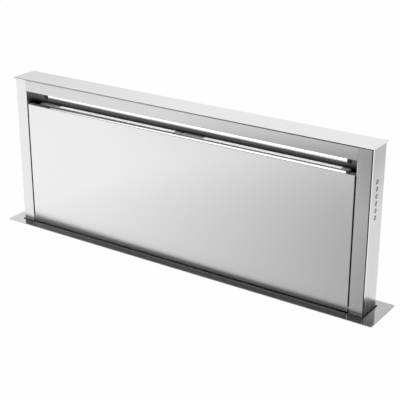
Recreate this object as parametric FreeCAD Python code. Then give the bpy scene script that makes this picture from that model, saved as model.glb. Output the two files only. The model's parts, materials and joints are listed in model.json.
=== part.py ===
import FreeCAD, Part

import math
import os

from FreeCAD import Vector

# Pop-up downdraft vent for a kitchen worktop. Millimetres. +Z is up, the front faces -Y and the
# control keys are on the +X side. The origin is the centre of the worktop cut-out, on the worktop.

# Worktop flange
FLANGE_RIM_X = 25.0
FLANGE_RIM_Y = 18.0
FLANGE_T = 1.5
FLANGE_CORNER = 2.0
GASKET_T = 0.8
GASKET_INSET = 1.5
CUTOUT_CLEAR = 2.8

# Rising tower
TOWER_W = 822.0
TOWER_D = 56.0
RISE = 322.0
TAIL = 95.0
SKIN = 1.5
STILE_W = 27.5
BEND_R = 1.4
CAP_T = 1.5
CAP_STEP = 1.0
CAP_OVERHANG = 3.0
CAP_INSET = 1.0
CAP_REST = 0.5
BACK_T = 1.2

# Intake slot and front panel. HEAD_H is what the tower has above the slot.
HEAD_H = 27.0
SLOT_H = 27.0
PANEL_GAP = 3.0
PANEL_FOOT = 2.0
PANEL_TOP_RETURN = 11.0
PANEL_SIDE_RETURN = 10.0
PANEL_OPEN_DEG = 18.0
PIVOT_BACK = 6.0
PIVOT_UP = 7.0
PIVOT_R = 2.0
CATCH_DROP = 45.0
CATCH_H = 30.0

# Wiper lip and running clearances
WIPER_GAP = 4.0
WIPER_CORNER = 5.0
WIPER_CLEAR = 0.5
WIPER_BASE_T = 2.5
RUN_CLEAR = 0.05
SLIDE_CLEAR = 0.3
SOFT_CLEAR = 0.3

# Filter cassettes
FILTER_T = 12.0
FILTER_DEPTH = 16.0
FILTER_RIM = 15.0
FILTER_GRIP = 50.0
FILTER_SHEET = 1.0
FILTER_SPLIT = 2.0
FILTER_MARGIN = 22.5
GRIP_POCKET_H = 70.0
GRIP_POCKET_D = 6.0
MESH_T = 8.0

# Light
LIGHT_MARGIN = 23.5
LIGHT_DEPTH = 28.5
LIGHT_DROP = 19.0
LIGHT_T = 14.0
DIFFUSER_T = 2.5
DIFFUSER_CORNER = 4.0
LED_T = 1.6
LED_PITCH = 24.0

# Control keys on the right side
KEYS = 6
KEY_D = 8.0
KEY_DROP = 13.6
KEY_PITCH = 13.6
KEY_BACK = 27.0
KEY_TRAVEL = 1.0
KEY_CLEAR = 0.3
KEY_LEN = 6.0
BOARD_T = 1.6
SWITCH_H = 3.4

# Lift drive
SCREW_R = 5.0
SCREW_BACK = 14.0
CARRIER_FRONT = 12.0
BEARING_HALF_W = 16.0
NUT_R = 8.0
NUT_FLANGE_R = 10.0
NUT_FLANGE_T = 4.0
BLOCK_H = 35.0
BEARING_R = 9.0
BEARING_H = 22.0
PULLEY_R = 14.0
PULLEY_RIM_R = 16.5
PULLEY_RIM_T = 1.5
BELT_W = 9.4
BELT_T = 1.5
BELT_CLEAR = 0.1
GEARMOTOR_R = 17.0
GEARMOTOR_H = 118.0
COUPLING_R = 9.0
COUPLING_H = 26.0

# Fixed casing under the worktop
CASE_T = 1.2
CASE_GAP_X = 9.0
CASE_GAP_Y = 8.0
CASE_H = 700.0
FOOT_H = 45.0
FOOT_R = 14.0
FOOT_STEM_R = 4.0
SHOE_W = 40.0
SHOE_H = 70.0
SHOE_T = 6.5
RAIL_T = 1.5

# Blower
FAN_X = -25.0
FAN_R = 90.0
FAN_EYE_R = 70.0
FAN_W = 110.0
BLADES = 36
BLADE_T = 1.0
BOX_LIFT = 10.0
BOX_HEAD = 20.0
SCROLL_GAP = 8.0
SCROLL_CLEAR = 9.2
SCROLL_T = 1.2
TONGUE_DEG = 6.0
MOTOR_R = 45.0
SHAFT_R = 5.0
DUCT_R = 75.0
DUCT_T = 1.2
DUCT_L = 55.0
DUCT_RIM = 4.0
DUCT_MARGIN = 1.0
OUTLET_MARGIN = 5.0
FLAP_T = 1.0
FLAP_CLEAR = 1.0
FLAP_PIN_R = 1.5

# Mains box
MAINS_W = 180.0
MAINS_D = 62.0
MAINS_H = 130.0
MAINS_INSET = 40.0
MAINS_TOP = -150.0
GLAND_R = 9.0
GLAND_BORE_R = 4.5

# Fixings: holes in the casing's back, worktop clamps, screws of the tower's back panel
FIX_INSET = 40.0
FIX_LIFT = 80.0
FIX_DROP = 160.0
FIX_R = 3.5
CLAMP_INSET = 120.0
CLAMP_Z = -66.0
CLAMP_R = 3.0
CLAMP_RISE = 22.0
BACK_SCREWS = 5
BACK_SCREW_R = 1.4
BACK_SCREW_HEAD_R = 3.4
BACK_SCREW_INSET = 12.0

# Derived places
FLANGE_TOP = GASKET_T + FLANGE_T
CAP_TOP = FLANGE_TOP + RISE
LIFT = RISE - CAP_T - CAP_REST
TOWER_TOP = CAP_TOP - CAP_T - CAP_STEP
TOWER_X = TOWER_W / 2
TOWER_Y = TOWER_D / 2
STILE_X = TOWER_X - STILE_W
SLOT_TOP_Z = CAP_TOP - HEAD_H
PANEL_TOP_Z = SLOT_TOP_Z - SLOT_H
PANEL_FOOT_Z = FLANGE_TOP + PANEL_FOOT
PANEL_X = STILE_X - PANEL_GAP
PIVOT_Y = -TOWER_Y + PIVOT_BACK
PIVOT_Z = PANEL_FOOT_Z + PIVOT_UP
CATCH_Z = PANEL_TOP_Z - CATCH_DROP
WIPER_FOOT = GASKET_T - WIPER_BASE_T
OPENING_X = TOWER_X + WIPER_GAP
OPENING_Y = TOWER_Y + WIPER_GAP
FLANGE_X = OPENING_X + FLANGE_RIM_X
FLANGE_Y = OPENING_Y + FLANGE_RIM_Y
CASE_X = TOWER_X + CASE_GAP_X
CASE_Y = TOWER_Y + CASE_GAP_Y
MAINS_X = CASE_X - MAINS_INSET - MAINS_W / 2
FIX_X = CASE_X - FIX_INSET
FIX_LOW = -CASE_H + FIX_LIFT
FIX_HIGH = -FIX_DROP
CLAMP_X = CASE_X - CLAMP_INSET
CUTOUT_X = CASE_X + CASE_T + CUTOUT_CLEAR
CUTOUT_Y = CASE_Y + CASE_T + CUTOUT_CLEAR
SCREW_X = TOWER_X - STILE_W / 2
SCREW_Y = TOWER_Y - SCREW_BACK
NUT_FOOT = -TAIL - NUT_FLANGE_T
COLLAR_Z = NUT_FOOT - LIFT - 2.0
BEARING_TOP = COLLAR_Z - 4.0
BEARING_FOOT = BEARING_TOP - BEARING_H
PULLEY_TOP = BEARING_FOOT - 3.0
PULLEY_H = BELT_W + 2 * (SOFT_CLEAR + PULLEY_RIM_T)
PULLEY_FOOT = PULLEY_TOP - PULLEY_H
COUPLING_TOP = PULLEY_FOOT - 0.5
COUPLING_FOOT = COUPLING_TOP - COUPLING_H
GEARMOTOR_TOP = COUPLING_FOOT - 3.0
SCROLL_R0 = FAN_R + SCROLL_GAP
SCROLL_R1 = 2 * DUCT_R + OUTLET_MARGIN
BOX_W = 2 * (SCROLL_R1 - FAN_X)
BOX_D = 2 * (DUCT_R + DUCT_RIM + DUCT_MARGIN)
BOX_BOTTOM = -CASE_H + BOX_LIFT
# The spiral is lowest about two fifths of the way from its tongue
SCROLL_LOW = SCROLL_R0 + 0.4 * (SCROLL_R1 - SCROLL_R0)
FAN_Z = BOX_BOTTOM + SCROLL_LOW + SCROLL_CLEAR
BOX_TOP = FAN_Z + SCROLL_R1 + BOX_HEAD
BOX_FACE_Y = -CASE_Y - CASE_T
BOX_FRONT_Y = BOX_FACE_Y - BOX_D
FAN_Y = BOX_FACE_Y - BOX_D / 2
DUCT_Z = FAN_Z + (SCROLL_R1 + SCROLL_R0 * math.sin(math.radians(TONGUE_DEG))) / 2
DUCT_X = BOX_W / 2 + CASE_T


def save(name, *solids):
    shape = solids[0] if len(solids) == 1 else Part.makeCompound(list(solids))
    shape.exportStep(f"parts/{name}.step")


def block(x0, x1, y0, y1, z0, z1):
    return Part.makeBox(x1 - x0, y1 - y0, z1 - z0, Vector(x0, y0, z0))


def centred(half_x, half_y, z0, z1):
    return block(-half_x, half_x, -half_y, half_y, z0, z1)


def rod(radius, start, end):
    along = Vector(*end) - Vector(*start)
    return Part.makeCylinder(radius, along.Length, Vector(*start), along)


def ring(outer, inner, start, end):
    return rod(outer, start, end).cut(rod(inner, start, end))


def mirrored(shape):
    return shape.mirror(Vector(0, 0, 0), Vector(1, 0, 0))


def round_upright_edges(shape, radius, wanted):
    """Rounds the straight Z edges whose midpoint the test accepts."""
    edges = []
    for edge in shape.Edges:
        low, high = edge.Vertexes[0].Point, edge.Vertexes[-1].Point
        upright = abs(low.x - high.x) < 1e-6 and abs(low.y - high.y) < 1e-6
        if upright and wanted(low):
            edges.append(edge)
    return shape.makeFillet(radius, edges)


def rounded_plate(half_x, half_y, corner, z0, z1):
    return round_upright_edges(centred(half_x, half_y, z0, z1), corner, lambda p: True)


# ---------------------------------------------------------------- worktop flange


def flange():
    plate = rounded_plate(FLANGE_X, FLANGE_Y, FLANGE_CORNER, GASKET_T, FLANGE_TOP)
    hole = rounded_plate(OPENING_X, OPENING_Y, WIPER_CORNER, GASKET_T - 1, FLANGE_TOP + 1)
    save("worktop_flange", plate.cut(hole))
    rim = centred(FLANGE_X - GASKET_INSET, FLANGE_Y - GASKET_INSET, 0, GASKET_T)
    save("flange_gasket", rim.cut(centred(CUTOUT_X, CUTOUT_Y, -1, GASKET_T + 1)))


def wiper():
    inner_x, inner_y = TOWER_X + WIPER_CLEAR, TOWER_Y + WIPER_CLEAR
    foot = WIPER_FOOT
    base = centred(CASE_X - 1, CASE_Y - 1, foot, GASKET_T)
    lip = rounded_plate(OPENING_X, OPENING_Y, WIPER_CORNER, GASKET_T, FLANGE_TOP - 0.4)
    gap = centred(inner_x, inner_y, foot - 1, FLANGE_TOP + 1)
    save("wiper_seal", base.fuse(lip).cut(gap).removeSplitter())


# ---------------------------------------------------------------- tower frame


def key_heights():
    return [PANEL_TOP_Z - KEY_DROP - KEY_PITCH * n for n in range(KEYS)]


def stile():
    """The right stile, a folded box section that is open at both ends."""
    outer = block(STILE_X, TOWER_X, -TOWER_Y, TOWER_Y, -TAIL, TOWER_TOP)
    outer = round_upright_edges(outer, BEND_R, lambda p: p.x > STILE_X + 1)
    inner = block(STILE_X + SKIN, TOWER_X - SKIN, -TOWER_Y + SKIN, TOWER_Y - SKIN, -TAIL - 1, TOWER_TOP + 1)
    return outer.cut(inner)


def stiles():
    right = stile()
    for z in key_heights():
        y = -TOWER_Y + KEY_BACK
        right = right.cut(rod(KEY_D / 2 + KEY_CLEAR, (TOWER_X - 2 * SKIN, y, z), (TOWER_X + 1, y, z)))
    save("left_stile", mirrored(stile()))
    save("right_stile", right)


def head_rail():
    web = block(-STILE_X, STILE_X, -TOWER_Y, TOWER_Y, TOWER_TOP - SKIN, TOWER_TOP)
    front = block(-STILE_X, STILE_X, -TOWER_Y, -TOWER_Y + SKIN, SLOT_TOP_Z, TOWER_TOP)
    back = block(-STILE_X, STILE_X, TOWER_Y - SKIN, TOWER_Y, SLOT_TOP_Z, TOWER_TOP)
    lip = block(-STILE_X, STILE_X, -TOWER_Y, -TOWER_Y + STILE_W / 2, SLOT_TOP_Z, SLOT_TOP_Z + SKIN)
    save("head_rail", web.fuse([front, back, lip]).removeSplitter())


def cap():
    plate = centred(TOWER_X + CAP_OVERHANG, TOWER_Y + CAP_OVERHANG, CAP_TOP - CAP_T, CAP_TOP)
    step = centred(TOWER_X - CAP_INSET, TOWER_Y - CAP_INSET, TOWER_TOP, CAP_TOP - CAP_T)
    save("cap_plate", plate.fuse(step).removeSplitter())


def back_screw_places():
    low, high = -TAIL / 2, SLOT_TOP_Z - 30
    rows = [low + n * (high - low) / (BACK_SCREWS - 1) for n in range(BACK_SCREWS)]
    return [(x, z) for z in rows for x in (-STILE_X + BACK_SCREW_INSET, STILE_X - BACK_SCREW_INSET)]


def back_panel():
    """Flat sheet behind the stiles' back edges, with a narrow outward fold along each stile."""
    outer, inner = TOWER_Y - SKIN, TOWER_Y - SKIN - BACK_T
    top = SLOT_TOP_Z + (TOWER_TOP - SLOT_TOP_Z) / 2
    sheet = block(-STILE_X, STILE_X, inner, outer, -TAIL, top)
    folds = [block(x, x + SKIN, outer, TOWER_Y, -TAIL, SLOT_TOP_Z) for x in (-STILE_X, STILE_X - SKIN)]
    panel = sheet.fuse(folds).removeSplitter()
    screws = []
    for x, z in back_screw_places():
        stem = rod(BACK_SCREW_R, (x, inner - 2, z), (x, outer, z))
        panel = panel.cut(stem)
        head = rod(BACK_SCREW_HEAD_R, (x, outer, z), (x, TOWER_Y - 0.1, z))
        screws.append(stem.fuse(head).removeSplitter())
    save("back_panel", panel)
    save("back_panel_screws", *screws)


def base_rail():
    """Front cross rail under the panel. Its top leg is the shelf that the filters stand on."""
    top = PANEL_FOOT_Z - PANEL_FOOT - 1.0
    rear = -TOWER_Y + FILTER_DEPTH + FILTER_T
    front = block(-STILE_X, STILE_X, -TOWER_Y, -TOWER_Y + SKIN, -TAIL, top)
    shelf = block(-STILE_X, STILE_X, -TOWER_Y, rear, top - SKIN, top)
    lip = block(-STILE_X, STILE_X, rear - SKIN, rear, top - 12, top)
    save("base_rail", front.fuse([shelf, lip]).removeSplitter())
    return top


# ---------------------------------------------------------------- front panel


def strike():
    """Steel tab inside the panel's right side return, which the magnet holds."""
    y = -TOWER_Y + PANEL_SIDE_RETURN
    half = CATCH_H / 2 - 3
    return block(PANEL_X - SKIN - 12, PANEL_X - SKIN, y - 2, y, CATCH_Z - half, CATCH_Z + half)


def front_panel():
    """Folded pan with a return along each edge, and two strikes welded inside it."""
    front, x = -TOWER_Y, PANEL_X
    sheet = block(-x, x, front, front + SKIN, PANEL_FOOT_Z, PANEL_TOP_Z)
    head = block(-x, x, front, front + PANEL_TOP_RETURN, PANEL_TOP_Z - SKIN, PANEL_TOP_Z)
    foot = block(-x, x, front, front + PANEL_SIDE_RETURN, PANEL_FOOT_Z, PANEL_FOOT_Z + SKIN)
    sides = [
        block(-x, -x + SKIN, front, front + PANEL_SIDE_RETURN, PANEL_FOOT_Z, PANEL_TOP_Z),
        block(x - SKIN, x, front, front + PANEL_SIDE_RETURN, PANEL_FOOT_Z, PANEL_TOP_Z),
    ]
    pan = sheet.fuse([head, foot] + sides).removeSplitter()
    hole = rod(PIVOT_R + RUN_CLEAR, (-x - 1, PIVOT_Y, PIVOT_Z), (x + 1, PIVOT_Y, PIVOT_Z))
    save("front_panel", pan.cut(hole), mirrored(strike()), strike())


def panel_pivots():
    """Shouldered pins fixed in the stiles, which the panel's side returns turn on."""
    reach = PANEL_X - SKIN - 4
    pin = rod(PIVOT_R, (reach, PIVOT_Y, PIVOT_Z), (STILE_X, PIVOT_Y, PIVOT_Z))
    shoulder = rod(PIVOT_R + 1.5, (PANEL_X + SLIDE_CLEAR, PIVOT_Y, PIVOT_Z), (STILE_X, PIVOT_Y, PIVOT_Z))
    one = pin.fuse(shoulder).removeSplitter()
    save("panel_pivot_pins", mirrored(one), one)


def panel_catches():
    """Magnets on the stiles' inner webs, close behind the panel's strikes."""
    y = -TOWER_Y + PANEL_SIDE_RETURN + SOFT_CLEAR
    magnet = block(PANEL_X - 14, STILE_X, y, y + 8, CATCH_Z - CATCH_H / 2, CATCH_Z + CATCH_H / 2)
    save("magnet_catches", mirrored(magnet), magnet)


# ---------------------------------------------------------------- filters


def filter_cassette(x0, foot):
    """Frame and mesh pack of one grease filter. The solid band at its left end is the finger grip."""
    x1 = x0 + STILE_X - FILTER_SPLIT - FILTER_MARGIN
    y0 = -TOWER_Y + FILTER_DEPTH
    y1 = y0 + FILTER_T
    body = block(x0, x1, y0, y1, foot, PANEL_TOP_Z)
    window = (x0 + FILTER_GRIP, x1 - FILTER_RIM, foot + FILTER_RIM, PANEL_TOP_Z - FILTER_RIM)
    cut = block(window[0], window[1], y0 - 1, y1 + 1, window[2], window[3])
    mid = (y0 + y1) / 2
    grow = FILTER_RIM - 2 * FILTER_SHEET
    groove = block(window[0] - grow, window[1] + grow, mid - MESH_T / 2, mid + MESH_T / 2,
                   window[2] - grow, window[3] + grow)
    half, middle = GRIP_POCKET_H / 2, (foot + PANEL_TOP_Z) / 2
    pocket = block(x0 + 10, x0 + 32, y0 - 1, y0 + GRIP_POCKET_D, middle - half, middle + half)
    return body.cut(cut).cut(groove).cut(pocket), groove


def filters(shelf):
    left, left_mesh = filter_cassette(-STILE_X + FILTER_MARGIN, shelf)
    right, right_mesh = filter_cassette(FILTER_SPLIT / 2, shelf)
    save("filter_frames", left, right)
    save("filter_meshes", left_mesh, right_mesh)


# ---------------------------------------------------------------- light


def light():
    half = STILE_X - LIGHT_MARGIN
    front = -TOWER_Y + LIGHT_DEPTH
    foot, top = SLOT_TOP_Z - LIGHT_DROP, TOWER_TOP - SKIN
    back = front + LIGHT_T
    body = block(-STILE_X, STILE_X, front, back, PANEL_TOP_Z, top)
    pocket = block(-half, half, front - 1, back - SKIN, foot, top - 6)
    body = body.cut(pocket).removeSplitter()
    lens = block(-half, half, front, front + DIFFUSER_T, foot, top - 6)
    corners = [e for e in lens.Edges
               if abs(e.Vertexes[0].Point.y - e.Vertexes[-1].Point.y) > 1 and e.Vertexes[0].Point.z < foot + 1]
    lens = lens.makeFillet(DIFFUSER_CORNER, corners)
    save("light_housing", body)
    save("light_diffuser", lens)
    board = block(-half + 4, half - 4, back - SKIN - LED_T, back - SKIN, foot + 4, foot + 16)
    count = int((2 * half - 16) // LED_PITCH)
    start = -LED_PITCH * (count - 1) / 2
    chips = [block(start + n * LED_PITCH - 1.5, start + n * LED_PITCH + 1.5,
                   back - SKIN - LED_T - 0.8, back - SKIN - LED_T, foot + 8.5, foot + 11.5) for n in range(count)]
    save("led_strip", board, *chips)


# ---------------------------------------------------------------- control keys


def keys():
    y = -TOWER_Y + KEY_BACK
    rear = TOWER_X - SKIN - 4.5
    for n, z in enumerate(key_heights()):
        cap_rod = rod(KEY_D / 2, (TOWER_X - KEY_LEN, y, z), (TOWER_X, y, z))
        save(f"key_{n + 1}", cap_rod)
    heights = key_heights()
    z0, z1 = heights[-1] - 9, heights[0] + 9
    guide = block(rear + 1.2, TOWER_X - SKIN, y - 8, y + 6.5, z0, z1)
    for z in heights:
        guide = guide.cut(rod(KEY_D / 2 + KEY_CLEAR, (rear, y, z), (TOWER_X, y, z)))
    face = TOWER_X - KEY_LEN - KEY_TRAVEL - SLIDE_CLEAR
    posts = [rod(1.8, (face - SWITCH_H, y + dy, z), (rear + 1.2, y + dy, z))
             for z in (z0 + 2.5, z1 - 2.5) for dy in (-5.5, 4.0)]
    save("key_guide", guide.fuse(posts).removeSplitter())
    switches = [block(face - SWITCH_H, face, y - 3, y + 3, z - 3, z + 3) for z in heights]
    board = block(face - SWITCH_H - BOARD_T, face - SWITCH_H, y - 8, y + 6.5, z0, z1)
    save("key_board", board, *switches)


# ---------------------------------------------------------------- lift drive, carried by the tower


def carriages():
    carrier = block(STILE_X + SKIN, TOWER_X - SKIN, SCREW_Y - CARRIER_FRONT, TOWER_Y - SKIN, -TAIL, -TAIL + BLOCK_H)
    carrier = carrier.cut(rod(NUT_R, (SCREW_X, SCREW_Y, -TAIL - 1), (SCREW_X, SCREW_Y, 0)))
    barrel = rod(NUT_R, (SCREW_X, SCREW_Y, -TAIL), (SCREW_X, SCREW_Y, -TAIL + BLOCK_H))
    rim = rod(NUT_FLANGE_R, (SCREW_X, SCREW_Y, NUT_FOOT), (SCREW_X, SCREW_Y, -TAIL))
    hole = rod(SCREW_R + RUN_CLEAR, (SCREW_X, SCREW_Y, NUT_FOOT - 1), (SCREW_X, SCREW_Y, 0))
    nut = barrel.fuse(rim).cut(hole).removeSplitter()
    shoe = block(TOWER_X, TOWER_X + SHOE_T, -SHOE_W / 2, SHOE_W / 2, -TAIL, -TAIL + SHOE_H)
    save("nut_carriers", mirrored(carrier), carrier)
    save("lead_nuts", mirrored(nut), nut)
    save("slide_shoes", mirrored(shoe), shoe)


# ---------------------------------------------------------------- lift drive, fixed and turning


def guide_rails():
    low, high = BEARING_TOP, WIPER_FOOT - SOFT_CLEAR
    half = SHOE_W / 2 + SLIDE_CLEAR
    outer = block(TOWER_X + 1.0, CASE_X, -half - RAIL_T, half + RAIL_T, low, high)
    groove = block(TOWER_X, TOWER_X + SHOE_T + SLIDE_CLEAR, -half, half, low - 1, high + 1)
    rail = outer.cut(groove)
    save("guide_rails", mirrored(rail), rail)


def lead_screw(foot):
    top = NUT_FOOT + NUT_FLANGE_T + BLOCK_H + 4
    thread = rod(SCREW_R, (SCREW_X, SCREW_Y, COLLAR_Z), (SCREW_X, SCREW_Y, top))
    collar = rod(SCREW_R + 2.5, (SCREW_X, SCREW_Y, BEARING_TOP), (SCREW_X, SCREW_Y, COLLAR_Z))
    journal = rod(SCREW_R, (SCREW_X, SCREW_Y, BEARING_FOOT - 3), (SCREW_X, SCREW_Y, BEARING_TOP))
    tail = rod(SCREW_R - 1, (SCREW_X, SCREW_Y, foot), (SCREW_X, SCREW_Y, BEARING_FOOT - 3))
    return thread.fuse([collar, journal, tail]).removeSplitter()


def pulley():
    rim, axis = PULLEY_RIM_T, (SCREW_X, SCREW_Y)
    drum = rod(PULLEY_R, (*axis, PULLEY_FOOT), (*axis, PULLEY_TOP))
    low = rod(PULLEY_RIM_R, (*axis, PULLEY_FOOT), (*axis, PULLEY_FOOT + rim))
    high = rod(PULLEY_RIM_R, (*axis, PULLEY_TOP - rim), (*axis, PULLEY_TOP))
    hub = rod(SCREW_R - 1, (*axis, PULLEY_FOOT - 1), (*axis, PULLEY_TOP + 1))
    return drum.fuse([low, high]).cut(hub).removeSplitter()


def belt():
    z0 = PULLEY_FOOT + PULLEY_RIM_T + SOFT_CLEAR
    z1 = z0 + BELT_W
    inner = PULLEY_R + BELT_CLEAR

    def loop(radius):
        ends = [rod(radius, (x, SCREW_Y, z0), (x, SCREW_Y, z1)) for x in (-SCREW_X, SCREW_X)]
        span = block(-SCREW_X, SCREW_X, SCREW_Y - radius, SCREW_Y + radius, z0, z1)
        return span.fuse(ends).removeSplitter()

    save("drive_belt", loop(inner + BELT_T).cut(loop(inner)))


def bearings():
    axis = (SCREW_X, SCREW_Y)
    holder = block(STILE_X, CASE_X, SCREW_Y - BEARING_HALF_W, SCREW_Y + BEARING_HALF_W, BEARING_FOOT, BEARING_TOP - 0.5)
    holder = holder.cut(rod(BEARING_R, (*axis, BEARING_FOOT - 1), (*axis, BEARING_TOP + 1)))
    race = ring(BEARING_R, SCREW_R + RUN_CLEAR, (*axis, BEARING_FOOT), (*axis, BEARING_TOP - 0.5))
    save("bearing_blocks", mirrored(holder), holder)
    save("screw_bearings", mirrored(race), race)


def drive():
    save("right_lead_screw", lead_screw(PULLEY_FOOT - 2), pulley())
    save("left_lead_screw", mirrored(lead_screw(COUPLING_TOP - COUPLING_H / 2 + 0.5)), mirrored(pulley()))
    axis = (-SCREW_X, SCREW_Y)
    sleeve = ring(COUPLING_R, SCREW_R - 1, (*axis, COUPLING_FOOT), (*axis, COUPLING_TOP))
    output = rod(SCREW_R - 1, (*axis, GEARMOTOR_TOP - 12), (*axis, COUPLING_FOOT + COUPLING_H / 2 - 0.5))
    save("shaft_coupling", sleeve, output)
    can = rod(GEARMOTOR_R, (*axis, GEARMOTOR_TOP - GEARMOTOR_H), (*axis, GEARMOTOR_TOP))
    can = can.cut(rod(SCREW_R - 1 + RUN_CLEAR, (*axis, GEARMOTOR_TOP - 14), (*axis, GEARMOTOR_TOP + 1)))
    save("lift_gearmotor", can)
    plate = block(-CASE_X, -SCREW_X + GEARMOTOR_R + 4, SCREW_Y - GEARMOTOR_R - 3, SCREW_Y + GEARMOTOR_R + 3,
                  GEARMOTOR_TOP - 40, GEARMOTOR_TOP - 30)
    plate = plate.cut(rod(GEARMOTOR_R, (*axis, GEARMOTOR_TOP - 50), (*axis, GEARMOTOR_TOP - 20)))
    save("gearmotor_clamp", plate)


# ---------------------------------------------------------------- casing


def case_walls():
    foot = -CASE_H
    x, y = CASE_X, CASE_Y
    front = block(-x - CASE_T, x + CASE_T, -y - CASE_T, -y, foot, GASKET_T)
    eye = rod(FAN_EYE_R + 4, (FAN_X, -y - 5, FAN_Z), (FAN_X, -y + 5, FAN_Z))
    save("case_front", front.cut(eye))
    back = block(-x - CASE_T, x + CASE_T, y, y + CASE_T, foot, GASKET_T)
    for bx in (-FIX_X, FIX_X):
        for bz in (FIX_LOW, FIX_HIGH):
            back = back.cut(rod(FIX_R, (bx, y - 1, bz), (bx, y + 5, bz)))
    save("case_back", back)
    side = block(x, x + CASE_T, -y, y, foot, GASKET_T)
    floor = block(-x - CASE_T, x + CASE_T, -y - CASE_T, y + CASE_T, foot - CASE_T, foot)
    for fx, fy in foot_places():
        floor = floor.cut(rod(FOOT_STEM_R, (fx, fy, foot - 5), (fx, fy, foot + 5)))
    save("case_sides_and_floor", mirrored(side), side, floor)


def foot_places():
    return [(sx * (CASE_X - 30), sy * (CASE_Y - 16)) for sx in (-1, 1) for sy in (-1, 1)]


def feet():
    solids = []
    top, low = -CASE_H, -CASE_H - FOOT_H
    for x, y in foot_places():
        pad = rod(FOOT_R, (x, y, low), (x, y, low + 8))
        stem = rod(FOOT_STEM_R, (x, y, low + 8), (x, y, top + 14))
        nut = rod(7, (x, y, top - CASE_T - 6.5), (x, y, top - CASE_T))
        solids.append(pad.fuse([stem, nut]).removeSplitter())
    save("levelling_feet", *solids)


def clamps():
    """Angle brackets on the casing, and the screws that pull the worktop against the flange."""
    angles, screws = [], []
    for sx in (-1, 1):
        for sy in (-1, 1):
            wall = sy * (CASE_Y + CASE_T)
            x = sx * CLAMP_X
            span = sorted((wall, wall + sy * 2))
            leg = block(x - 15, x + 15, span[0], span[1], CLAMP_Z - 40, CLAMP_Z)
            span = sorted((wall, wall + sy * 34))
            shelf = block(x - 15, x + 15, span[0], span[1], CLAMP_Z - 2, CLAMP_Z)
            cy = wall + sy * 22
            hole = rod(CLAMP_R + 0.1, (x, cy, CLAMP_Z - 5), (x, cy, CLAMP_Z + 5))
            angles.append(leg.fuse(shelf).cut(hole).removeSplitter())
            low, high = CLAMP_Z - CLAMP_RISE, CLAMP_Z + CLAMP_RISE
            stem = rod(CLAMP_R, (x, cy, low), (x, cy, high))
            head = rod(5, (x, cy, low - 4), (x, cy, low))
            pad = rod(8, (x, cy, high), (x, cy, high + 3))
            lock = ring(5.5, CLAMP_R, (x, cy, CLAMP_Z), (x, cy, CLAMP_Z + 4))
            screws.append(stem.fuse([head, pad, lock]).removeSplitter())
    save("clamp_brackets", *angles)
    save("clamp_screws", *screws)


# ---------------------------------------------------------------- blower


def blower_box():
    """Five welded sheets, open towards the casing. The right one has the outlet hole."""
    x, t = BOX_W / 2, CASE_T
    front = block(-x - t, x + t, BOX_FRONT_Y - t, BOX_FRONT_Y, BOX_BOTTOM - t, BOX_TOP + t)
    top = block(-x - t, x + t, BOX_FRONT_Y, BOX_FACE_Y, BOX_TOP, BOX_TOP + t)
    bottom = block(-x - t, x + t, BOX_FRONT_Y, BOX_FACE_Y, BOX_BOTTOM - t, BOX_BOTTOM)
    left = block(-x - t, -x, BOX_FRONT_Y, BOX_FACE_Y, BOX_BOTTOM, BOX_TOP)
    right = block(x, x + t, BOX_FRONT_Y, BOX_FACE_Y, BOX_BOTTOM, BOX_TOP)
    outlet = rod(DUCT_R - DUCT_T, (x - 5, FAN_Y, DUCT_Z), (x + 5, FAN_Y, DUCT_Z))
    save("blower_box", front, top, bottom, left, right.cut(outlet))


def scroll():
    """Spiral band round the fan. Its radius grows evenly from the tongue to the outlet."""
    turn = 270.0 + TONGUE_DEG
    steps = 24

    def spiral(extra):
        points = []
        for n in range(steps + 1):
            share = n / steps
            angle = math.radians(TONGUE_DEG - turn * share)
            radius = SCROLL_R0 + (SCROLL_R1 - SCROLL_R0) * share + extra
            points.append(Vector(FAN_X + radius * math.cos(angle), BOX_FRONT_Y, FAN_Z + radius * math.sin(angle)))
        return points

    inner, outer = spiral(0), spiral(SCROLL_T)
    right = BOX_W / 2
    in_top = Vector(right, BOX_FRONT_Y, inner[-1].z)
    out_top = Vector(right, BOX_FRONT_Y, outer[-1].z)
    in_curve, out_curve = Part.BSplineCurve(), Part.BSplineCurve()
    in_curve.interpolate(inner)
    out_curve.interpolate(outer)
    edges = [in_curve.toShape(), Part.makeLine(inner[-1], in_top), Part.makeLine(in_top, out_top),
             Part.makeLine(out_top, outer[-1]), out_curve.toShape(), Part.makeLine(outer[0], inner[0])]
    band = Part.Face(Part.Wire(Part.__sortEdges__(edges))).extrude(Vector(0, BOX_D, 0))
    start = inner[0]
    shelf = block(outer[0].x, right, BOX_FRONT_Y, BOX_FACE_Y, start.z - SCROLL_T, start.z)
    save("blower_scroll", band.fuse(shelf).removeSplitter())


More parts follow.
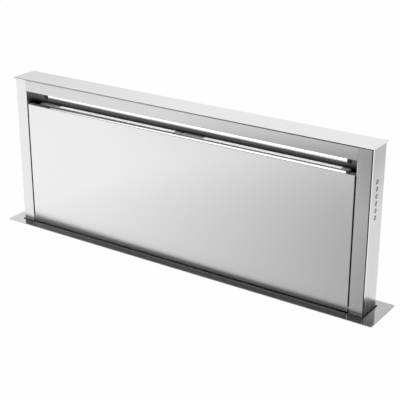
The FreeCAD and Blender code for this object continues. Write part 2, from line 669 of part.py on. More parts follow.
def impeller():
    mid = FAN_Y
    y0, y1 = mid - FAN_W / 2, mid + FAN_W / 2
    disc = rod(FAN_R - 1, (FAN_X, mid - 1, FAN_Z), (FAN_X, mid + 1, FAN_Z))
    hub = rod(14, (FAN_X, mid - 8, FAN_Z), (FAN_X, mid + 12, FAN_Z))
    rings = [ring(FAN_R, FAN_EYE_R, (FAN_X, y, FAN_Z), (FAN_X, y + 2, FAN_Z)) for y in (y0, y1 - 2)]
    blade = block(FAN_EYE_R + 1, FAN_R - 1, y0 + 1, y1 - 1, -BLADE_T / 2, BLADE_T / 2)
    lean = 30.0
    middle = (FAN_EYE_R + FAN_R) / 2
    blade.rotate(Vector(middle, 0, 0), Vector(0, 1, 0), lean)
    blades = []
    for n in range(BLADES):
        one = blade.copy()
        one.rotate(Vector(0, 0, 0), Vector(0, 1, 0), 360.0 * n / BLADES)
        one.translate(Vector(FAN_X, 0, FAN_Z))
        blades.append(one)
    wheel = disc.fuse([hub] + rings + blades)
    bore = rod(SHAFT_R, (FAN_X, y0, FAN_Z), (FAN_X, y1, FAN_Z))
    save("impeller", wheel.cut(bore).removeSplitter())
    save("impeller_shaft", rod(SHAFT_R, (FAN_X, BOX_FRONT_Y + 4, FAN_Z), (FAN_X, mid + 12, FAN_Z)))


def blower_motor():
    can = rod(MOTOR_R, (FAN_X, BOX_FRONT_Y, FAN_Z), (FAN_X, FAN_Y - 12, FAN_Z))
    can = can.cut(rod(SHAFT_R + RUN_CLEAR, (FAN_X, BOX_FRONT_Y + 3, FAN_Z), (FAN_X, FAN_Y, FAN_Z)))
    save("blower_motor", can)


def inlet_ring():
    wall = -CASE_Y
    rim = ring(FAN_EYE_R + 20, FAN_EYE_R - 4, (FAN_X, wall, FAN_Z), (FAN_X, wall + 1.5, FAN_Z))
    end = FAN_Y + FAN_W / 2 + 4
    throat = ring(FAN_EYE_R - 2.5, FAN_EYE_R - 4, (FAN_X, end, FAN_Z), (FAN_X, wall + 1.5, FAN_Z))
    save("inlet_ring", rim.fuse(throat).removeSplitter())


# ---------------------------------------------------------------- duct outlet and check flaps


def duct():
    end = DUCT_X + DUCT_L
    tube = ring(DUCT_R, DUCT_R - DUCT_T, (DUCT_X, FAN_Y, DUCT_Z), (end, FAN_Y, DUCT_Z))
    rim = ring(DUCT_R + DUCT_RIM, DUCT_R - DUCT_T, (DUCT_X, FAN_Y, DUCT_Z), (DUCT_X + 1.5, FAN_Y, DUCT_Z))
    collar = tube.fuse(rim).removeSplitter()
    px = DUCT_X + 12
    reach = DUCT_R - DUCT_T / 2
    hole = rod(FLAP_PIN_R, (px, FAN_Y, DUCT_Z - DUCT_R - 1), (px, FAN_Y, DUCT_Z + DUCT_R + 1))
    save("duct_collar", collar.cut(hole))
    save("flap_pin", rod(FLAP_PIN_R, (px, FAN_Y, DUCT_Z - reach), (px, FAN_Y, DUCT_Z + reach)))
    radius = DUCT_R - DUCT_T - FLAP_CLEAR
    knuckle_r = FLAP_PIN_R + 1.2
    half = radius - 6
    for side, sign, offset in (("front", -1, 0), ("rear", 1, 1)):
        disc = rod(radius, (px - FLAP_T / 2, FAN_Y, DUCT_Z), (px + FLAP_T / 2, FAN_Y, DUCT_Z))
        gap = knuckle_r + 0.4
        span = sorted((FAN_Y + sign * gap, FAN_Y + sign * 2 * DUCT_R))
        flap = disc.common(block(px - 5, px + 5, span[0], span[1], DUCT_Z - DUCT_R, DUCT_Z + DUCT_R))
        lengths = 6
        step = 2 * half / lengths
        for n in range(offset, lengths, 2):
            z0 = DUCT_Z - half + n * step + 0.3
            z1 = z0 + step - 0.6
            sleeve = rod(knuckle_r, (px, FAN_Y, z0), (px, FAN_Y, z1))
            span = sorted((FAN_Y, FAN_Y + sign * (gap + 1)))
            tab = block(px - FLAP_T / 2, px + FLAP_T / 2, span[0], span[1], z0, z1)
            flap = flap.fuse([sleeve, tab])
        bore = rod(FLAP_PIN_R + RUN_CLEAR, (px, FAN_Y, DUCT_Z - DUCT_R), (px, FAN_Y, DUCT_Z + DUCT_R))
        save(f"{side}_check_flap", flap.cut(bore).removeSplitter())


# ---------------------------------------------------------------- mains box


def mains_box():
    x0, x1 = MAINS_X - MAINS_W / 2, MAINS_X + MAINS_W / 2
    y1 = BOX_FACE_Y
    y0 = y1 - MAINS_D
    z1 = MAINS_TOP
    z0 = z1 - MAINS_H
    wall = 2.0
    shell = block(x0, x1, y0 + wall, y1, z0, z1)
    shell = shell.cut(block(x0 + wall, x1 - wall, y0, y1 - wall, z0 + wall, z1 - wall))
    gx, gy = x1 - 35, y1 - MAINS_D / 2
    shell = shell.cut(rod(GLAND_R - 2, (gx, gy, z0 - 1), (gx, gy, z0 + wall + 1)))
    save("mains_box_lid", block(x0, x1, y0, y0 + wall, z0, z1))
    board = block(x0 + 10, x1 - 10, y1 - 12 - BOARD_T, y1 - 12, z0 + 8, z1 - 8)
    bosses = [rod(3, (x, y1 - 12, z), (x, y1 - wall, z)) for x in (x0 + 16, x1 - 16) for z in (z0 + 14, z1 - 14)]
    save("mains_box", shell.fuse(bosses).removeSplitter())
    front = y1 - 12 - BOARD_T
    choke = rod(11, (x0 + 35, front - 16, z1 - 35), (x0 + 35, front, z1 - 35))
    block_a = block(x0 + 60, x0 + 95, front - 26, front, z0 + 40, z0 + 78)
    block_b = block(x1 - 60, x1 - 18, front - 12, front, z1 - 32, z1 - 18)
    save("power_board", board, choke, block_a, block_b)
    neck = ring(GLAND_R - 2, GLAND_BORE_R, (gx, gy, z0 - 2), (gx, gy, z0 + wall + 2))
    nut = ring(GLAND_R, GLAND_BORE_R, (gx, gy, z0 - 14), (gx, gy, z0))
    save("cable_gland", nut.fuse(neck).removeSplitter())


def main():
    os.makedirs("parts", exist_ok=True)
    flange()
    wiper()
    stiles()
    head_rail()
    cap()
    back_panel()
    shelf = base_rail()
    front_panel()
    panel_pivots()
    panel_catches()
    filters(shelf)
    light()
    keys()
    carriages()
    guide_rails()
    belt()
    bearings()
    drive()
    case_walls()
    feet()
    clamps()
    blower_box()
    scroll()
    impeller()
    blower_motor()
    inlet_ring()
    duct()
    mains_box()


main()
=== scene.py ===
import json
import math

import bmesh
import bpy
from mathutils import Matrix, Vector

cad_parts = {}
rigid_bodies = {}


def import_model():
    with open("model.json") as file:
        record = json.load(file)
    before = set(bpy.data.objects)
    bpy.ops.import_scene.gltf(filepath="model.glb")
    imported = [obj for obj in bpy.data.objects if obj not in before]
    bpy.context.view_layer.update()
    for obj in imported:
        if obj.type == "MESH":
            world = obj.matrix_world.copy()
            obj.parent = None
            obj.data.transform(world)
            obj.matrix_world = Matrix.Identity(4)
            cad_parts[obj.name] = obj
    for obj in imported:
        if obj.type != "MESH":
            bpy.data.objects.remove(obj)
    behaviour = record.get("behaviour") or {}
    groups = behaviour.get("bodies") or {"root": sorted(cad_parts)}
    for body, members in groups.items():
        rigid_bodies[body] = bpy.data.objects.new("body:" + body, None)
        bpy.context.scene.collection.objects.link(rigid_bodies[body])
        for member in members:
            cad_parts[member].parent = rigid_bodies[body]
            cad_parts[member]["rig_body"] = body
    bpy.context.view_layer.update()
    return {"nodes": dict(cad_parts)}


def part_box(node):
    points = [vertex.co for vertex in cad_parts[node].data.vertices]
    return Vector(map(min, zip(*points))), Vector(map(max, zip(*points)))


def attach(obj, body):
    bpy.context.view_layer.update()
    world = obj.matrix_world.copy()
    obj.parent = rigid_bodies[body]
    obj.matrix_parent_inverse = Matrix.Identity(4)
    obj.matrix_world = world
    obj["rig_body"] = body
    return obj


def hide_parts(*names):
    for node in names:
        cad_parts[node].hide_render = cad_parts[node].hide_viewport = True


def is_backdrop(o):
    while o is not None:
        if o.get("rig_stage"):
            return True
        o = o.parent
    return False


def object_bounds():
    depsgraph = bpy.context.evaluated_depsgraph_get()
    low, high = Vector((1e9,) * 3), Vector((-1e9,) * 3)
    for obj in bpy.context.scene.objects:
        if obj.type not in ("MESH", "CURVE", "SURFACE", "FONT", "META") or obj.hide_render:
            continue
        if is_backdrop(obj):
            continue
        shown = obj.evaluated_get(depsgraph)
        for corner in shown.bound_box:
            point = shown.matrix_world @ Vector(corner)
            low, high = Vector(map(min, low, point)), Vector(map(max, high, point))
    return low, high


# Pop-up downdraft vent. Metres, +Z up, front towards -Y, origin on the worktop at the middle of
# the cut-out. The sections follow the order in which the unit is put together.
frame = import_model()
nodes = frame["nodes"]


# ---------------- worktop flange
# A 1.5 mm stainless plate with a rectangular opening, which lies on the worktop round the tower.
# It is laser cut, its edges are eased, and its face is polished nearly to a mirror.
FLANGE_HALF = (0.440, 0.050)
OPENING_HALF = (0.415, 0.032)
FLANGE_UNDERSIDE, FLANGE_TOP = 0.0008, 0.0023
FLANGE_CORNER = 0.002
OPENING_CORNER = 0.005
FLANGE_EASE = 0.0003
BRUSH_HEIGHT = 0.000006
BRUSH_STRENGTH = 0.25
SAME_PLACE = 1e-6
SHARP_TURN = math.radians(20.0)


def colour(tone):
    """Red, green, blue and alpha, from a colour or from one level of grey."""
    return (*tone, 1.0) if isinstance(tone, tuple) else (tone, tone, tone, 1.0)


def shade(name, tone, rough, metal=0.0):
    """Starts a material: returns it with its nodes, its shader and its object coordinates."""
    material = bpy.data.materials.new(name)
    material.use_nodes = True
    tree = material.node_tree
    shader = tree.nodes["Principled BSDF"]
    shader.inputs["Base Color"].default_value = colour(tone)
    shader.inputs["Roughness"].default_value = rough
    shader.inputs["Metallic"].default_value = metal
    return material, tree, shader, tree.nodes.new("ShaderNodeTexCoord").outputs["Object"]


def grain(tree, where, scale, detail=3.0):
    """Noise, with one scale or one for each axis. A small one draws the noise out into lines."""
    stretch = tree.nodes.new("ShaderNodeMapping")
    stretch.inputs["Scale"].default_value = scale if isinstance(scale, tuple) else (scale,) * 3
    noise = tree.nodes.new("ShaderNodeTexNoise")
    noise.inputs["Scale"].default_value = 1.0
    noise.inputs["Detail"].default_value = detail
    tree.links.new(where, stretch.inputs["Vector"])
    tree.links.new(stretch.outputs["Vector"], noise.inputs["Vector"])
    return noise.outputs["Fac"]


def spread(tree, value, low, high, start=0.3, end=0.7):
    """Carries a value's start..end to the range low..high."""
    span = tree.nodes.new("ShaderNodeMapRange")
    for socket, number in (("From Min", start), ("From Max", end), ("To Min", low), ("To Max", high)):
        span.inputs[socket].default_value = number
    tree.links.new(value, span.inputs["Value"])
    return span.outputs["Result"]


def relief(tree, shader, value, height, strength=1.0):
    """Raises the surface by a pattern, to a height in metres."""
    bump = tree.nodes.new("ShaderNodeBump")
    bump.inputs["Distance"].default_value = height
    bump.inputs["Strength"].default_value = strength
    tree.links.new(value, bump.inputs["Height"])
    tree.links.new(bump.outputs["Normal"], shader.inputs["Normal"])


def shine(tree, shader, value, low, high):
    """Lets a pattern move the roughness from low to high."""
    tree.links.new(spread(tree, value, low, high), shader.inputs["Roughness"])


def apart(tree, where):
    """The object coordinates X, Y and Z, each on its own."""
    node = tree.nodes.new("ShaderNodeSeparateXYZ")
    tree.links.new(where, node.inputs["Vector"])
    return node.outputs


def worked_out(tree, operation, *terms):
    """The result of a Math node on terms that are numbers or other nodes' values."""
    node = tree.nodes.new("ShaderNodeMath")
    node.operation = operation
    for term, socket in zip(terms, node.inputs):
        if isinstance(term, float):
            socket.default_value = term
        else:
            tree.links.new(term, socket)
    return node.outputs["Value"]


def painted_reflection_steel(name, first, last, ramps, scale, rough=(0.22, 0.28)):
    """Ground steel with a painted reflection: its tone goes from first to last by the product of (axis,
    start, end, least).
    """
    material, tree, shader, where = shade(name, first, rough[0], 1.0)
    place = apart(tree, where)
    share = 1.0
    for axis, start, end, least in ramps:
        share = worked_out(tree, "MULTIPLY", spread(tree, place[axis], least, 1.0, start, end), share)
    tone = tree.nodes.new("ShaderNodeMix")
    tone.data_type = "RGBA"
    tone.inputs["A"].default_value = colour(first)
    tone.inputs["B"].default_value = colour(last)
    tree.links.new(share, tone.inputs["Factor"])
    tree.links.new(tone.outputs["Result"], shader.inputs["Base Color"])
    lines = grain(tree, where, scale)
    shine(tree, shader, lines, *rough)
    relief(tree, shader, lines, BRUSH_HEIGHT, BRUSH_STRENGTH)
    return material


def finish_piece(name, bm, materials, node):
    """Merges the mesh, turns its faces outwards and puts it on the body of the node it replaces."""
    bmesh.ops.remove_doubles(bm, verts=bm.verts, dist=SAME_PLACE)
    bmesh.ops.recalc_face_normals(bm, faces=bm.faces)
    mesh = bpy.data.meshes.new(name)
    bm.to_mesh(mesh)
    bm.free()
    mesh.shade_smooth()
    mesh.set_sharp_from_angle(angle=SHARP_TURN)
    for material in materials if isinstance(materials, tuple) else (materials,):
        mesh.materials.append(material)
    piece = bpy.data.objects.new(name, mesh)
    bpy.context.collection.objects.link(piece)
    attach(piece, nodes[node]["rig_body"])
    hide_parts(node)
    return piece


def turned_edges(bm, least=0.6):
    return [e for e in bm.edges if len(e.link_faces) == 2 and e.calc_face_angle(0.0) > least]


def round_off(bm, edges, width, segments):
    bmesh.ops.bevel(bm, geom=edges, offset=width, segments=segments, affect="EDGES", profile=0.5,
                    material=-1, clamp_overlap=True)


def soften(bm, width, least=0.6):
    """Rounds every edge that turns by more than least, in radians."""
    bmesh.ops.recalc_face_normals(bm, faces=bm.faces)
    round_off(bm, turned_edges(bm, least), width, 2)


def rectangle(bm, half, z, corner, segments=5):
    """A flat rectangle round the origin with rounded corners."""
    grid = bmesh.ops.create_grid(bm, x_segments=1, y_segments=1, size=1.0)
    bmesh.ops.scale(bm, vec=(half[0], half[1], 1.0), verts=grid["verts"])
    bmesh.ops.translate(bm, vec=(0.0, 0.0, z), verts=grid["verts"])
    bmesh.ops.bevel(bm, geom=grid["verts"], offset=corner, segments=segments, affect="VERTICES",
                    profile=0.5, material=-1)


def verts_in(geom):
    return [v for v in geom if isinstance(v, bmesh.types.BMVert)]


def drawn_out(bm, faces, step):
    """Extrudes faces by a step and returns the new vertices."""
    fresh = verts_in(bmesh.ops.extrude_face_region(bm, geom=faces)["geom"])
    bmesh.ops.translate(bm, vec=step, verts=fresh)
    return fresh


# The flange's tone is painted reflection: lighter at the left end, darker towards the right.
flange_steel = painted_reflection_steel("polished_flange_steel", 0.62, 0.46, (("X", -0.44, 0.44, 0.0),),
                     (3.0, 900.0, 900.0), (0.07, 0.12))
bm = bmesh.new()
rectangle(bm, FLANGE_HALF, FLANGE_TOP, FLANGE_CORNER)
rectangle(bm, OPENING_HALF, FLANGE_TOP, OPENING_CORNER)
bmesh.ops.delete(bm, geom=bm.faces[:], context="FACES_ONLY")
bmesh.ops.bridge_loops(bm, edges=bm.edges[:])
drawn_out(bm, bm.faces[:], (0.0, 0.0, FLANGE_UNDERSIDE - FLANGE_TOP))
soften(bm, FLANGE_EASE, 1.0)
finish_piece("flange_plate", bm, flange_steel, "worktop_flange")


# ---------------- gasket and wiper
# Foam tape seals the flange to the worktop. A rubber lip, held under the flange, wipes the
# tower's sides: it is one moulding, with a rounded crest and a thin edge that leans inwards.
FLAT_TURN = 0.01
WIPER_CORNER = 0.0003
WIPER_GAP_HALF = (0.4115, 0.0285)
WIPER_PROFILE = [(0.0075, -0.0017), (0.0075, 0.0008), (0.0035, 0.0008), (0.0035, 0.0015),
                 (0.0031, 0.0018), (0.0025, 0.0019), (0.0018, 0.0018), (0.0014, 0.0014),
                 (0.0009, 0.0011), (0.0002, 0.0015), (0.0, 0.0012)]


def tint(tree, shader, value, dark, light):
    """Colours the surface from dark to light as a value goes from 0.3 to 0.7."""
    ramp = tree.nodes.new("ShaderNodeValToRGB")
    for element, place, tone in zip(ramp.color_ramp.elements, (0.3, 0.7), (dark, light)):
        element.position, element.color = place, colour(tone)
    tree.links.new(value, ramp.inputs["Fac"])
    tree.links.new(ramp.outputs["Color"], shader.inputs["Base Color"])


def mottled(name, dark, light, scale, rough, height, metal=0.0, detail=3.0, fine=None):
    """A finish whose grain moves its tone, its height and, where rough is a pair, its shine.
    The height follows a grain of its own where a fine scale is given."""
    varied = isinstance(rough, tuple)
    material, tree, shader, where = shade(name, light, rough[0] if varied else rough, metal)
    pattern = grain(tree, where, scale, detail)
    tint(tree, shader, pattern, dark, light)
    if varied:
        shine(tree, shader, pattern, *rough)
    if height:
        relief(tree, shader, grain(tree, where, fine) if fine else pattern, height)
    return material


def node_copy(node):
    """A merged copy of a node's mesh, with its flat faces joined."""
    bm = bmesh.new()
    bm.from_mesh(nodes[node].data)
    bmesh.ops.remove_doubles(bm, verts=bm.verts, dist=SAME_PLACE)
    bmesh.ops.dissolve_limit(bm, angle_limit=FLAT_TURN, verts=bm.verts, edges=bm.edges, delimit={"NORMAL"})
    return bm


def eased(node, width):
    """As node_copy, with its sharp edges rounded."""
    bm = node_copy(node)
    soften(bm, width)
    return bm


def edged(node, material, width=0.0003):
    """A piece of the node's own shape, with its cut edges eased."""
    finish_piece(f"{node}_eased", eased(node, width), material, node)


foam = mottled("gasket_foam", 0.04, 0.09, 900.0, 0.9, 0.0002, detail=4.0)
edged("flange_gasket", foam, 0.0001)
wiper_rubber = mottled("wiper_rubber", 0.012, (0.024, 0.024, 0.025), (60.0, 60.0, 200.0), (0.42, 0.60),
                       0.00004, fine=1500.0)

bm = bmesh.new()
rectangle(bm, WIPER_GAP_HALF, WIPER_PROFILE[0][1], WIPER_CORNER, 3)
bmesh.ops.delete(bm, geom=bm.faces[:], context="FACES_ONLY")
loop = first = bm.edges[:]
reach, level = 0.0, WIPER_PROFILE[0][1]
for offset, z in WIPER_PROFILE:
    made = bmesh.ops.extrude_edge_only(bm, edges=loop)["geom"]
    ring = verts_in(made)
    grow = [(half + offset) / (half + reach) for half in WIPER_GAP_HALF]
    bmesh.ops.scale(bm, vec=(*grow, 1.0), verts=ring)
    bmesh.ops.translate(bm, vec=(0.0, 0.0, z - level), verts=ring)
    loop = [e for e in made if isinstance(e, bmesh.types.BMEdge) and all(v in ring for v in e.verts)]
    reach, level = offset, z
bmesh.ops.bridge_loops(bm, edges=first + loop)
finish_piece("wiper_lip", bm, wiper_rubber, "wiper_seal")


# ---------------- casing
# Zinc-plated 1.2 mm sheet. The front and back are pressed with stiffening beads and spot welded
# to the sides and the floor. The front has the hole for the blower's eye.
UP = Vector((0.0, 0.0, 1.0))
CASE_HALF = (0.4212, 0.0372)
CASE_FLOOR_Z = -0.700
CASE_TOP_GAP = 0.001
SHEET_EASE = 0.0003
BEAD_WIDTH = 0.028
BEAD_RISE = 0.0036
LAP_WIDTH = 0.016
LAP_THICK = 0.0009
LAP_INSET = 0.0001
SUNK = 0.0002
WELD_R = 0.0032
WELD_RISE = 0.0004
WELDS = 11
WELD_TOP_Z = -0.030
# Level beads are (x0, x1, z), and upright ones are given by their x.
LEVEL_BEADS = {"case_front": ((-0.250, 0.250, -0.060), (-0.250, 0.150, -0.110), (-0.370, 0.150, -0.180),
                              (-0.370, 0.150, -0.240), (-0.370, 0.370, -0.310)),
               "case_back": ((-0.250, 0.250, -0.060),
                             *((-0.340, 0.340, z) for z in (-0.200, -0.280, -0.360, -0.440, -0.520, -0.660)))}
UPRIGHT_BEADS = {"case_front": (-0.340, -0.250, 0.340), "case_back": ()}
UPRIGHT_BEAD_Z = (-0.390, -0.660)
SIDE_BEADS_Z = ((-0.060, -0.330), UPRIGHT_BEAD_Z)
FLOOR_BEADS_X = (-0.300, -0.150, 0.0, 0.150, 0.300)
FLOOR_BEAD_END = 0.024
FLOOR_UNDERSIDE_Z = CASE_FLOOR_Z - 0.0012


def slab(bm, low, high):
    """A block between two corners."""
    made = bmesh.ops.create_cube(bm, size=1.0)["verts"]
    bmesh.ops.scale(bm, vec=[b - a for a, b in zip(low, high)], verts=made)
    bmesh.ops.translate(bm, vec=[(a + b) / 2 for a, b in zip(low, high)], verts=made)
    return made


def bead(bm, start, end, out, width=BEAD_WIDTH, rise=BEAD_RISE):
    """A pressed stiffening bead on a sheet: a flattened dome, drawn out from start to end."""
    start, end, out = Vector(start), Vector(end), Vector(out)
    along = (end - start).normalized()
    across = out.cross(along)
    dome = bmesh.ops.create_uvsphere(bm, u_segments=16, v_segments=8, radius=1.0)["verts"]
    bmesh.ops.rotate(bm, verts=dome, matrix=Matrix.Rotation(math.pi / 16, 3, "Z"))
    for vert in dome:
        u, v, w = vert.co
        foot = end if u > 0 else start
        lift = w * abs(w) * (rise if w > 0 else rise * 0.3)
        vert.co = foot + (along * u + across * v) * width / 2 + out * lift


def weld(bm, centre, out):
    """The low round mark that a spot weld leaves on a sheet."""
    place = Matrix.Translation(centre) @ UP.rotation_difference(Vector(out)).to_matrix().to_4x4()
    bmesh.ops.create_cone(bm, cap_ends=True, segments=12, radius1=WELD_R, radius2=WELD_R * 0.6,
                          depth=WELD_RISE * 2, matrix=place)


plated, tree, shader, where = shade("zinc_plated_sheet", (0.58, 0.60, 0.62), 0.4, 1.0)
spangle = tree.nodes.new("ShaderNodeTexVoronoi")
spangle.inputs["Scale"].default_value = 95.0
tree.links.new(where, spangle.inputs["Vector"])
tint(tree, shader, spangle.outputs["Color"], (0.53, 0.545, 0.56), (0.585, 0.60, 0.615))
shine(tree, shader, spangle.outputs["Color"], 0.30, 0.40)
relief(tree, shader, grain(tree, where, 500.0), 0.00001)

for node, side in (("case_front", -1), ("case_back", 1)):
    bm = node_copy(node)
    out = (0.0, side, 0.0)
    y = side * CASE_HALF[1]
    y0, y1 = sorted((y - side * SUNK, y + side * LAP_THICK))
    lap_foot = CASE_FLOOR_Z + 0.0005
    for x0 in (-CASE_HALF[0], CASE_HALF[0] - LAP_WIDTH):
        slab(bm, (x0 + LAP_INSET, y0, lap_foot), (x0 + LAP_WIDTH - LAP_INSET, y1, -CASE_TOP_GAP))
    slab(bm, (LAP_WIDTH - CASE_HALF[0], y0, lap_foot),
         (CASE_HALF[0] - LAP_WIDTH, y1, CASE_FLOOR_Z + LAP_WIDTH))
    soften(bm, SHEET_EASE)
    for x0, x1, z in LEVEL_BEADS[node]:
        bead(bm, (x0, y, z), (x1, y, z), out)
    for x in UPRIGHT_BEADS[node]:
        bead(bm, (x, y, UPRIGHT_BEAD_Z[0]), (x, y, UPRIGHT_BEAD_Z[1]), out)
    for n in range(WELDS + 1):
        z = WELD_TOP_Z - n * (-CASE_FLOOR_Z - 0.040) / WELDS
        for x in (LAP_WIDTH / 2 - CASE_HALF[0], CASE_HALF[0] - LAP_WIDTH / 2):
            weld(bm, (x, y + side * LAP_THICK, z), out)
    finish_piece(f"{node}_sheet", bm, plated, node)

bm = eased("case_sides_and_floor", SHEET_EASE)
for side in (-1, 1):
    x = side * CASE_HALF[0]
    for start, end in SIDE_BEADS_Z:
        bead(bm, (x, 0.0, start), (x, 0.0, end), (side, 0.0, 0.0))
for x in FLOOR_BEADS_X:
    bead(bm, (x, -FLOOR_BEAD_END, FLOOR_UNDERSIDE_Z), (x, FLOOR_BEAD_END, FLOOR_UNDERSIDE_Z), -UP)
finish_piece("case_sides_and_floor_sheet", bm, plated, "case_sides_and_floor")


# ---------------- levelling feet
# Four screw feet under the casing, which set it level on the floor. Each is a steel pad on an M8
# stem, with a hexagonal lock nut.
FOOT_R = 0.014
FOOT_PAD = [(0.0, 0.0), (0.0130, 0.0), (0.0140, 0.0010), (0.0140, 0.0035), (0.0132, 0.0042),
            (0.0132, 0.0048), (0.0125, 0.0060), (0.0060, 0.0075), (0.0040, 0.0080), (0.0, 0.0080)]
FOOT_NUT_R = 0.0070
FOOT_NUT = [(0.0, 0.0373), (0.0060, 0.0373), (FOOT_NUT_R, 0.0380), (FOOT_NUT_R, 0.0430),
            (0.0060, 0.0437), (0.0, 0.0437)]
STEM_FOOT, STEM_R, STEM_PITCH, STEM_DEPTH = 0.0075, 0.0040, 0.00125, 0.0006


def lathe(bm, points, centre, axis=UP, steps=24):
    """Turns a profile of (radius, height) points about an axis through the centre."""
    base = Vector(centre)
    side = axis.orthogonal().normalized()
    verts = [bm.verts.new(base + side * radius + axis * height) for radius, height in points]
    edges = [bm.edges.new(pair) for pair in zip(verts, verts[1:])]
    bmesh.ops.spin(bm, geom=verts + edges, cent=base, axis=axis, angle=math.tau, steps=steps,
                   use_merge=True)


def corner_feet(box, inset):
    """The four places at a box's foot, each set in from its corner."""
    low, high = box
    return [(x, y, low.z) for x in (low.x + inset, high.x - inset) for y in (low.y + inset, high.y - inset)]


def hexed(bm, centre, radius, least, most, axis=UP):
    """Draws the round wall of a socket or a nut in to six flats, between two heights on its axis."""
    base = Vector(centre)
    first = axis.orthogonal().normalized()
    second = axis.cross(first)
    for vert in bm.verts:
        from_base = vert.co - base
        height = from_base.dot(axis)
        across = from_base - axis * height
        if least < height < most and abs(across.length - radius) < 1e-5:
            turn = math.atan2(across.dot(second), across.dot(first)) % (math.tau / 6)
            flat = math.cos(math.pi / 6) / math.cos(turn - math.pi / 6)
            vert.co = base + axis * height + across * flat


def thread(low, high, radius, pitch, depth):
    """Profile points of a threaded stem between two heights, one ridge to each pitch."""
    count = int((high - low) / pitch)
    step = (high - low) / count
    points = []
    for n in range(count):
        foot = low + n * step
        points += [(radius - depth, foot), (radius, foot + step * 0.35), (radius, foot + step * 0.65)]
    return points + [(radius - depth, high)]


zinc = mottled("zinc_plated_hardware", (0.50, 0.51, 0.53), (0.68, 0.69, 0.69), 260.0, (0.22, 0.42),
               0.00003, 1.0)
low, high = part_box("levelling_feet")
tall = high.z - low.z
stem = thread(STEM_FOOT, tall - 0.0005, STEM_R, STEM_PITCH, STEM_DEPTH)
bm = bmesh.new()
for foot in corner_feet((low, high), FOOT_R):
    lathe(bm, FOOT_PAD, foot, steps=32)
    lathe(bm, [(0.0, STEM_FOOT)] + stem + [(0.0, tall)], foot, steps=16)
    lathe(bm, FOOT_NUT, foot)
    hexed(bm, foot, FOOT_NUT_R, 0.0375, 0.0435)
finish_piece("screw_feet", bm, zinc, "levelling_feet")


# ---------------- worktop clamps
# Folded angle brackets welded to the casing, and screws whose pads press up under the worktop.
# Each screw has a hexagonal head at its foot and a lock nut on the bracket.
low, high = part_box("clamp_screws")
tall = high.z - low.z
CLAMP_STEM_R, CLAMP_PITCH, CLAMP_DEPTH = 0.0030, 0.0010, 0.0005
CLAMP_PAD_R = 0.008
CLAMP_HEAD_R = 0.0050
CLAMP_HEAD = [(0.0, 0.0), (0.0043, 0.0), (CLAMP_HEAD_R, 0.0006), (CLAMP_HEAD_R, 0.0036),
              (0.0045, 0.0040), (0.0, 0.0040)]
CLAMP_NUT_R = 0.0055
CLAMP_NUT = [(0.0, 0.0260), (0.0048, 0.0260), (CLAMP_NUT_R, 0.0266), (CLAMP_NUT_R, 0.0294),
             (0.0048, 0.0300), (0.0, 0.0300)]
# The pad's profile hangs from the screw's top.
CLAMP_PAD = [(radius, tall - drop) for radius, drop in
             ((0.0, 0.0035), (0.0030, 0.0035), (0.0034, 0.0030), (0.0074, 0.0030),
              (CLAMP_PAD_R, 0.0024), (CLAMP_PAD_R, 0.0005), (0.0075, 0.0), (0.0055, 0.0),
              (0.0050, 0.0006), (0.0, 0.0006))]
edged("clamp_brackets", plated, 0.0006)
stem = thread(0.0040, tall - 0.0033, CLAMP_STEM_R, CLAMP_PITCH, CLAMP_DEPTH)
bm = bmesh.new()
for foot in corner_feet((low, high), CLAMP_PAD_R):
    lathe(bm, CLAMP_HEAD, foot)
    hexed(bm, foot, CLAMP_HEAD_R, 0.0004, 0.0038)
    lathe(bm, [(0.0, 0.0039)] + stem + [(0.0, tall - 0.0032)], foot, steps=16)
    lathe(bm, CLAMP_NUT, foot)
    hexed(bm, foot, CLAMP_NUT_R, 0.0262, 0.0298)
    lathe(bm, CLAMP_PAD, foot)
finish_piece("clamp_screws_and_pads", bm, zinc, "clamp_screws")


# ---------------- lift drive
# A gearmotor turns the left lead screw through a coupling, and a toothed belt carries the turn to
# the right one. Bronze nuts in nylon carriers lift the tower, and nylon shoes run in the rails.
SCREW_X = {"left": -0.39725, "right": 0.39725}
SCREW_Y = 0.014
SCREW_LEAD = 0.016
SCREW_STARTS = 4
SCREW_FOOT_Z = -0.420
SCREW_STEPS = 16
SCREW_RIDGE = [(0.0039, 0.0), (0.0049, 0.0009), (0.0050, 0.0011), (0.0050, 0.0019), (0.0049, 0.0021),
               (0.0039, 0.0030)]
PULLEY_TEETH = 28
PULLEY_R = 0.0140
TOOTH_CUT = 0.06
PULLEY_PROFILE = [(0.0038, -0.4630), (0.0163, -0.4630), (0.0165, -0.4628), (0.0165, -0.4617),
                  (0.0163, -0.4615), (PULLEY_R, -0.4615), (PULLEY_R, -0.4515), (0.0163, -0.4515),
                  (0.0165, -0.4513), (0.0165, -0.4502), (0.0163, -0.4500), (0.0070, -0.4500),
                  (0.0038, -0.4500), (0.0038, -0.4630)]
BELT_THICK = 0.0015
BELT_TOOTH = 0.00293
BELT_TOOTH_X = -0.376
GEARMOTOR_PROFILE = [(0.0, 0.0), (0.0060, 0.0), (0.0064, 0.0010), (0.0070, 0.0016), (0.0145, 0.0016),
                     (0.0160, 0.0030), (0.0160, 0.0600), (0.0170, 0.0606), (0.0170, 0.0625),
                     (0.0164, 0.0631), (0.0164, 0.0660), (0.0170, 0.0666), (0.0170, 0.0760),
                     (0.0170, 0.0885), (0.0164, 0.0891), (0.0164, 0.0930), (0.0170, 0.0936),
                     (0.0170, 0.1160), (0.0160, 0.1172), (0.0060, 0.1172), (0.0055, 0.1180),
                     (0.00405, 0.1180), (0.00405, 0.1040), (0.0, 0.1040)]
GEARMOTOR_BOLT = [(0.0, 0.1168), (0.0018, 0.1168), (0.0018, 0.1178), (0.0016, 0.1180),
                  (0.0010, 0.1180), (0.0010, 0.1174), (0.0, 0.1174)]
BOLT_CIRCLE_R = 0.0115

